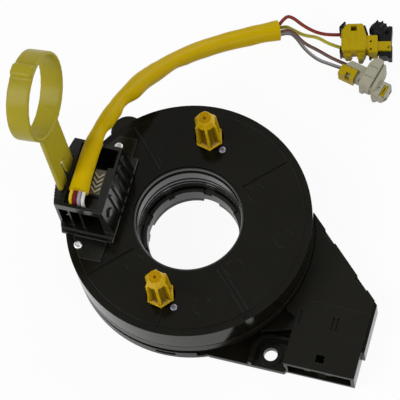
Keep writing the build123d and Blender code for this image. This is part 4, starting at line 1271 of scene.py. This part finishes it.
@dataclass
class YellowPlug(Plug):
    """The yellow plug: a chamfered back on two feet, a stepped nose, black catches and a sliding latch."""

    place: Point = (39.8, 108.8, 0.0)
    turn: float = math.degrees(math.atan2(1.0, 4.0))
    nodes: Nodes = (
        ("yellow_plug", "yellow_plastic"),
        ("yellow_plug_catches", "black_plastic"),
        ("yellow_plug_lock", "black_plastic"),
    )
    height: float = 9.5
    neck_top: float = 8.5
    feet_top: float = 6.0
    sole: float = 1.0
    back: Outline = (
        (0.0, -6.2), (0.0, 3.4), (2.6, 6.8), (9.9, 6.8), (11.5, 1.2), (11.5, -5.2), (10.9, -6.8), (0.6, -6.8),
    )
    feet: tuple[Outline, ...] = (
        ((0.9, -6.4), (1.9, -8.0), (4.3, -8.0), (4.8, -6.4)),
        ((7.2, -6.4), (7.6, -9.3), (9.4, -9.6), (11.2, -6.0), (10.0, -5.6)),
    )
    neck: Outline = ((11.0, 1.2), (16.5, 1.2), (16.5, -7.6), (12.9, -7.6), (11.4, -5.4), (11.0, -5.4))
    nose: tuple[Bar, ...] = (
        ((16.0, -6.0, 1.0), (20.7, -1.5, 7.4), 0.4),
        ((20.2, -6.0, 1.0), (22.3, -1.5, 4.8), 0.3),
        ((20.2, -3.7, 1.0), (22.5, -1.5, 7.4), 0.3),
        ((20.2, -6.0, 1.0), (22.5, -5.2, 7.4), 0.2),
    )
    windows: tuple[Box, ...] = (
        ((4.4, 2.9, 6.0), (7.1, 5.5, 12.0)), ((4.8, -10.0, -1.0), (7.0, -5.0, 2.4)),
    )
    holes: tuple[Pair, ...] = ((13.4, -2.0), (13.4, -5.9))
    hole: float = 0.55
    ways: tuple[float, ...] = (-4.9, -2.7)
    lines: tuple[float, ...] = (3.2, 6.4)
    line_depth: float = 0.08
    corner_catch: Outline = ((-0.9, 3.2), (-0.9, 5.4), (1.5, 8.0), (2.2, 7.5), (0.0, 4.6), (0.0, 3.2))
    side_catch: Bar = ((-0.8, -7.2, 1.0), (0.15, -4.6, 8.2), 0.25)
    cheek: Outline = ((10.2, 5.8), (11.0, 5.6), (12.3, 1.3), (11.5, 0.9))
    low_catch: Bar = ((12.4, -8.3, 1.0), (13.6, -7.3, 3.4), 0.2)
    arms: tuple[Bar, ...] = (
        ((16.8, -1.2, 0.0), (22.0, 2.3, 6.4), 0.3),
        ((16.8, -8.3, 0.0), (23.0, -6.3, 6.4), 0.3),
        ((16.8, -6.6, 0.0), (23.0, -0.8, 0.7), 0.2),
        ((21.0, -9.0, 0.0), (23.0, -6.4, 5.4), 0.4),
    )
    end_plate: Bar = ((20.9, -1.0, 0.0), (23.0, 6.6, 6.4), 0.5)
    end_plate_turn: float = -4.0
    dome: Pair = (17.0, 5.0)
    dome_steps: Outline = ((4.4, 5.4), (3.8, 6.3), (2.9, 6.9), (1.8, 7.2))
    ribs: tuple[float, ...] = (-3.0, -1.0, 1.0, 3.0)
    rib_half: float = 0.3
    rib_reach: float = 4.3
    rib_heights: Pair = (4.0, 7.3)
    rib_turn: float = -40.0
    beak: Bar = ((12.6, 4.0, 2.0), (15.4, 5.6, 6.0), 0.3)
    beak_turn: float = 24.0
    bridge: Bar = ((13.4, 1.9, 2.0), (17.0, 3.2, 6.2), 0.3)

    def mould(self) -> list[Piece]:
        """The housing, the catches and the latch."""
        return [self._housing(), self._catches(), self._latch()]

    def _housing(self) -> Piece:
        """The back, the feet, the neck and the nose with their windows and holes.

        Returns:
            The piece.
        """
        shell = self.moulding()
        shell.prism(self.back, self.foot, self.height, 0.7)
        for foot in self.feet:
            shell.prism(foot, self.foot, self.feet_top)
        shell.prism(self.neck, self.sole, self.neck_top, 0.5)
        shell.bars(self.nose)
        for low, high in self.windows:
            shell.cut(low, high)
        for hole in self.holes:
            shell.drill(hole, self.hole, self.feet_top, self.above)
        for y in self.ways:
            shell.cut((21.0, y - 0.5, 2.2), (24.0, y + 0.5, 4.2))
        for x in self.lines:
            shell.cut((x, -4.2, self.height - self.line_depth), (x + 0.7, 0.2, self.above))
        return shell.piece("yellow_plug_housing", Finishes.YELLOW, Body.ROTOR)

    def _catches(self) -> Piece:
        """The catches at the back corners and the black cheek along the slope.

        Returns:
            The piece.
        """
        catches = self.moulding()
        catches.prism(self.corner_catch, self.sole, self.height - 0.2, 0.25)
        catches.bar(*self.side_catch)
        catches.prism(self.cheek, 2.0, self.height + 0.05, 0.2)
        catches.bar(*self.low_catch)
        return catches.piece("yellow_plug_black_catches", Finishes.BLACK_LATCH, Body.ROTOR, 0.2)

    def _latch(self) -> Piece:
        """The black latch: two arms and a sole round the nose, and a ribbed dome with a beak.

        Returns:
            The piece.
        """
        latch = self.moulding()
        latch.bars(self.arms)
        latch.bar(*self.end_plate, self.end_plate_turn)
        for radius, top in self.dome_steps:
            latch.post(self.dome, radius, self.foot, top, 0.4)
        x, y = self.dome
        low, high = self.rib_heights
        turn = Matrix.Rotation(math.radians(self.rib_turn), 3, "Z")
        for shift in self.ribs:
            reach = math.sqrt(max(0.0, self.rib_reach ** 2 - shift ** 2))
            start = (x + shift - self.rib_half, y - reach, low)
            rib = latch.bar(start, (x + shift + self.rib_half, y + reach, high), 0.2)
            bmesh.ops.rotate(latch.solid, cent=metres((x, y, 0.0)), matrix=turn, verts=rib)
        latch.bar(*self.beak, self.beak_turn)
        latch.bar(*self.bridge)
        return latch.piece("yellow_plug_black_latch", Finishes.BLACK_LATCH, Body.YELLOW_LOCK, 0.2, 1)


@dataclass
class GreyPlug(Plug):
    """The grey plug: a back with a yellow clip, a tall rounded flange and a nose with a yellow insert."""

    place: Point = (45.0, 97.0, 0.0)
    turn: float = math.degrees(math.atan2(-1.0, 4.0))
    nodes: Nodes = (
        ("grey_plug", "light_grey_plastic"),
        ("grey_plug_lock", "yellow_plastic"),
        ("grey_plug_insert", "yellow_plastic"),
    )
    body_top: float = 6.2
    flange_top: float = 9.0
    back: Outline = ((-0.9, 0.1), (1.4, 3.4), (9.8, 3.4), (9.8, -3.0), (7.5, -3.0), (7.5, 0.1))
    step: Bar = ((0.0, -4.2, 0.0), (8.4, 0.6, 5.3), 0.3)
    wall: Outline = ((9.4, -6.4), (9.4, 5.2), (10.6, 8.2), (13.2, 9.2), (15.2, 8.6), (15.2, -6.4))
    rim: Outline = ((15.8, -5.8), (15.8, 7.8), (17.0, 7.0), (17.6, 4.4), (17.6, -5.8))
    ties: tuple[Bar, ...] = (
        ((14.8, -5.8, 0.0), (16.2, 7.6, 7.1), 0.2),
        ((10.0, -7.2, 0.0), (12.2, -6.0, 4.0), 0.4),
    )
    nose: Outline = (
        (16.0, -7.4), (16.0, 0.2), (18.4, 0.8), (22.6, 0.9), (23.2, 0.2), (23.1, -5.0), (21.4, -7.5),
    )
    knuckle: Pair = (18.0, -7.3)
    stud: Pair = (18.6, -3.2)
    slot: Box = ((20.1, -6.6, 4.6), (22.2, -0.9, 8.0))
    slot_fit: float = 0.15
    lines: tuple[float, ...] = (3.6, -1.6)
    ways: tuple[float, ...] = (-5.5, -1.3)
    clip_bars: tuple[Bar, ...] = (
        ((-1.6, -5.4, 5.5), (6.3, -0.1, 7.0), 0.4),
        ((-1.6, -5.4, 0.0), (6.3, -4.45, 6.6), 0.3),
    )
    clip_window: Box = ((1.9, -6.0, 3.4), (4.2, -3.0, 8.0))
    insert_groove: Box = ((20.9, -5.8, 5.4), (21.4, -1.7, 8.0))

    def mould(self) -> list[Piece]:
        """The housing, the clip and the insert."""
        return [self._housing(), self._clip(), self._insert()]

    def _housing(self) -> Piece:
        """The stepped back, the flange with its channel, and the nose.

        Returns:
            The piece.
        """
        shell = self.moulding()
        shell.prism(self.back, self.foot, self.body_top, 0.3)
        shell.bar(*self.step)
        shell.prism(self.wall, self.foot, self.flange_top, 0.8)
        shell.prism(self.rim, self.foot, self.flange_top - 0.5, 0.4)
        shell.bars(self.ties)
        shell.prism(self.nose, self.foot, self.body_top, 0.5)
        shell.post(self.knuckle, 1.3, self.foot, 4.4, 0.5)
        shell.post(self.stud, 0.9, 5.0, 6.6, 0.2)
        shell.drill(self.stud, 0.4, 5.6, 8.0)
        shell.cut(*self.slot)
        for y in self.lines:
            shell.cut((10.6, y, self.flange_top - 0.35), (14.6, y + 0.5, self.above))
        for y in self.ways:
            shell.cut((22.0, y - 0.8, 1.0), (25.0, y + 0.8, 3.2))
        return shell.piece("grey_plug_housing", Finishes.LIGHT_GREY, Body.ROTOR)

    def _clip(self) -> Piece:
        """The yellow clip over the back's lower step, with its window.

        Returns:
            The piece.
        """
        clip = self.moulding()
        clip.bars(self.clip_bars)
        clip.cut(*self.clip_window)
        return clip.piece("grey_plug_clip", Finishes.YELLOW, Body.GREY_LOCK, 0.2)

    def _insert(self) -> Piece:
        """The yellow insert in the nose's slot, with a groove along it.

        Returns:
            The piece.
        """
        low, high = self.slot
        insert = self.moulding()
        start = (low[0] + self.slot_fit, low[1] + self.slot_fit, low[2] + 0.1)
        insert.bar(start, (high[0] - self.slot_fit, high[1] - self.slot_fit, self.body_top + 0.1), 0.4)
        insert.cut(*self.insert_groove)
        return insert.piece("grey_plug_yellow_insert", Finishes.YELLOW, Body.ROTOR, 0.15)


@dataclass
class PhotoCamera:
    """The camera at the photograph's angle, for a square frame of 400 points a side."""

    elevation: float = 67.066
    azimuth: float = 29.064
    roll: float = -14.673
    distance: float = 1100.0
    aim: Pair = (5.077, 7.888)
    focal: float = 2529.921
    pivot: Point = (0.0, 0.0, 30.0)
    frame_points: float = 400.0
    sensor: float = 36.0
    far_clip: float = 20.0

    def build(self) -> None:
        """Places the camera and makes it the scene's."""
        e, a, r = (math.radians(v) for v in (self.elevation, self.azimuth, self.roll))
        back = Vector((math.sin(a) * math.cos(e), -math.cos(a) * math.cos(e), math.sin(e)))
        right = Vector((math.cos(a), math.sin(a), 0.0))
        up = back.cross(right)
        across = right * math.cos(r) + up * math.sin(r)
        upright = up * math.cos(r) - right * math.sin(r)
        place = Vector(self.pivot) + across * self.aim[0] + upright * self.aim[1] + back * self.distance
        data = bpy.data.cameras.new("photo_camera")
        data.sensor_width = self.sensor
        data.lens = self.sensor * self.focal / self.frame_points
        data.clip_end = self.far_clip
        camera = new_object("photo_camera", data)
        turn = Matrix((across, upright, back)).transposed().to_4x4()
        camera.matrix_world = Matrix.Translation(place * MM) @ turn
        bpy.context.scene.camera = camera


@dataclass
class Studio:
    """A pale floor and soft lamps on a white ground."""

    floor_size: float = 6.0
    floor_drop: float = 0.00005
    aim: Point = (0.0, 20.0, 20.0)
    floor_colour: Colour = (0.84, 0.84, 0.84)
    white: Colour = (1.0, 1.0, 1.0)
    white_share: float = 0.93
    world_strength: float = 0.14
    lamps: tuple[tuple[str, Point, float, float], ...] = (
        ("key", (-620.0, -500.0, 900.0), 700.0, 9.0),
        ("fill", (900.0, -350.0, 520.0), 800.0, 5.0),
        ("rim", (250.0, 1000.0, 620.0), 800.0, 6.5),
    )

    def build(self) -> None:
        """Makes the floor, the lamps and the world."""
        shape = bmesh.new()
        bmesh.ops.create_grid(shape, x_segments=1, y_segments=1, size=self.floor_size / 2)
        bmesh.ops.translate(shape, verts=shape.verts, vec=(0.0, 0.0, -self.floor_drop))
        floor = mesh_object("floor", shape)
        floor.data.materials.append(self._floor_finish())
        self._light()
        self._world()

    @staticmethod
    def _seen(graph: Graph) -> Signal:
        """1 for rays from the camera and for reflected or refracted ones.

        Args:
            graph: The nodes that it is for.

        Returns:
            The mask.
        """
        path = graph.add("LightPath").outputs
        rays = ("Camera", "Glossy", "Transmission")
        direct, mirrored, passed = (graph.signal(path[f"Is {ray} Ray"]) for ray in rays)
        return (direct + mirrored + passed).clamped()

    def _floor_finish(self) -> bpy.types.Material:
        """Pale card that reads white and keeps the object's shadow.

        Returns:
            The material.
        """
        made = bpy.data.materials.new("pale_floor")
        made.use_nodes = True
        graph = Graph(made.node_tree)
        matt = graph.add("BsdfDiffuse", {"Color": self.floor_colour})
        white = graph.add("Emission", {"Color": self.white, "Strength": 1.0})
        sockets = {0: self._seen(graph) * self.white_share, 1: matt.outputs[0], 2: white.outputs[0]}
        mixed = graph.add("MixShader", sockets)
        graph.add("OutputMaterial", {"Surface": mixed.outputs[0]})
        return made

    def _light(self) -> None:
        """Square soft lamps that look at the object's middle."""
        for name, spot, size, power in self.lamps:
            data = bpy.data.lights.new(name, "AREA")
            data.shape = "SQUARE"
            data.size = size * MM
            data.energy = power
            lamp = new_object(name, data)
            place = metres(spot)
            facing = (place - metres(self.aim)).to_track_quat("Z", "Y")
            lamp.matrix_world = Matrix.Translation(place) @ facing.to_matrix().to_4x4()

    def _world(self) -> None:
        """An even pale sky that the camera sees as white."""
        world = bpy.data.worlds.new("studio")
        world.use_nodes = True
        bpy.context.scene.world = world
        graph = Graph(world.node_tree)
        strength = self._seen(graph) * (1.0 - self.world_strength) + self.world_strength
        ground = graph.add("Background", {"Color": self.white, "Strength": strength})
        graph.add("OutputWorld", {"Surface": ground.outputs[0]})


def dress_solids() -> None:
    """Puts each solid's finish on it."""
    for name, finish in CAD_FINISHES.items():
        finish.dress(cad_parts[name])
        log.info("dressed %s in %s", name, finish.name)


def main() -> None:
    """Builds the scene, sub-assembly by sub-assembly."""
    logging.basicConfig(level=logging.INFO)
    scene = bpy.context.scene
    scene.view_settings.view_transform = "Standard"
    PhotoCamera().build()
    Lead().build(YellowPlug().build(), GreyPlug().build())
    for name, place in (("drive_pin_back", (-1.2, 38.8)), ("drive_pin_front", (-2.2, -36.8))):
        DrivePin(name, place).build()
    LockTab().build()
    TowerFoot().build()
    dress_solids()
    Studio().build()


if __name__ == "__main__":
    main()
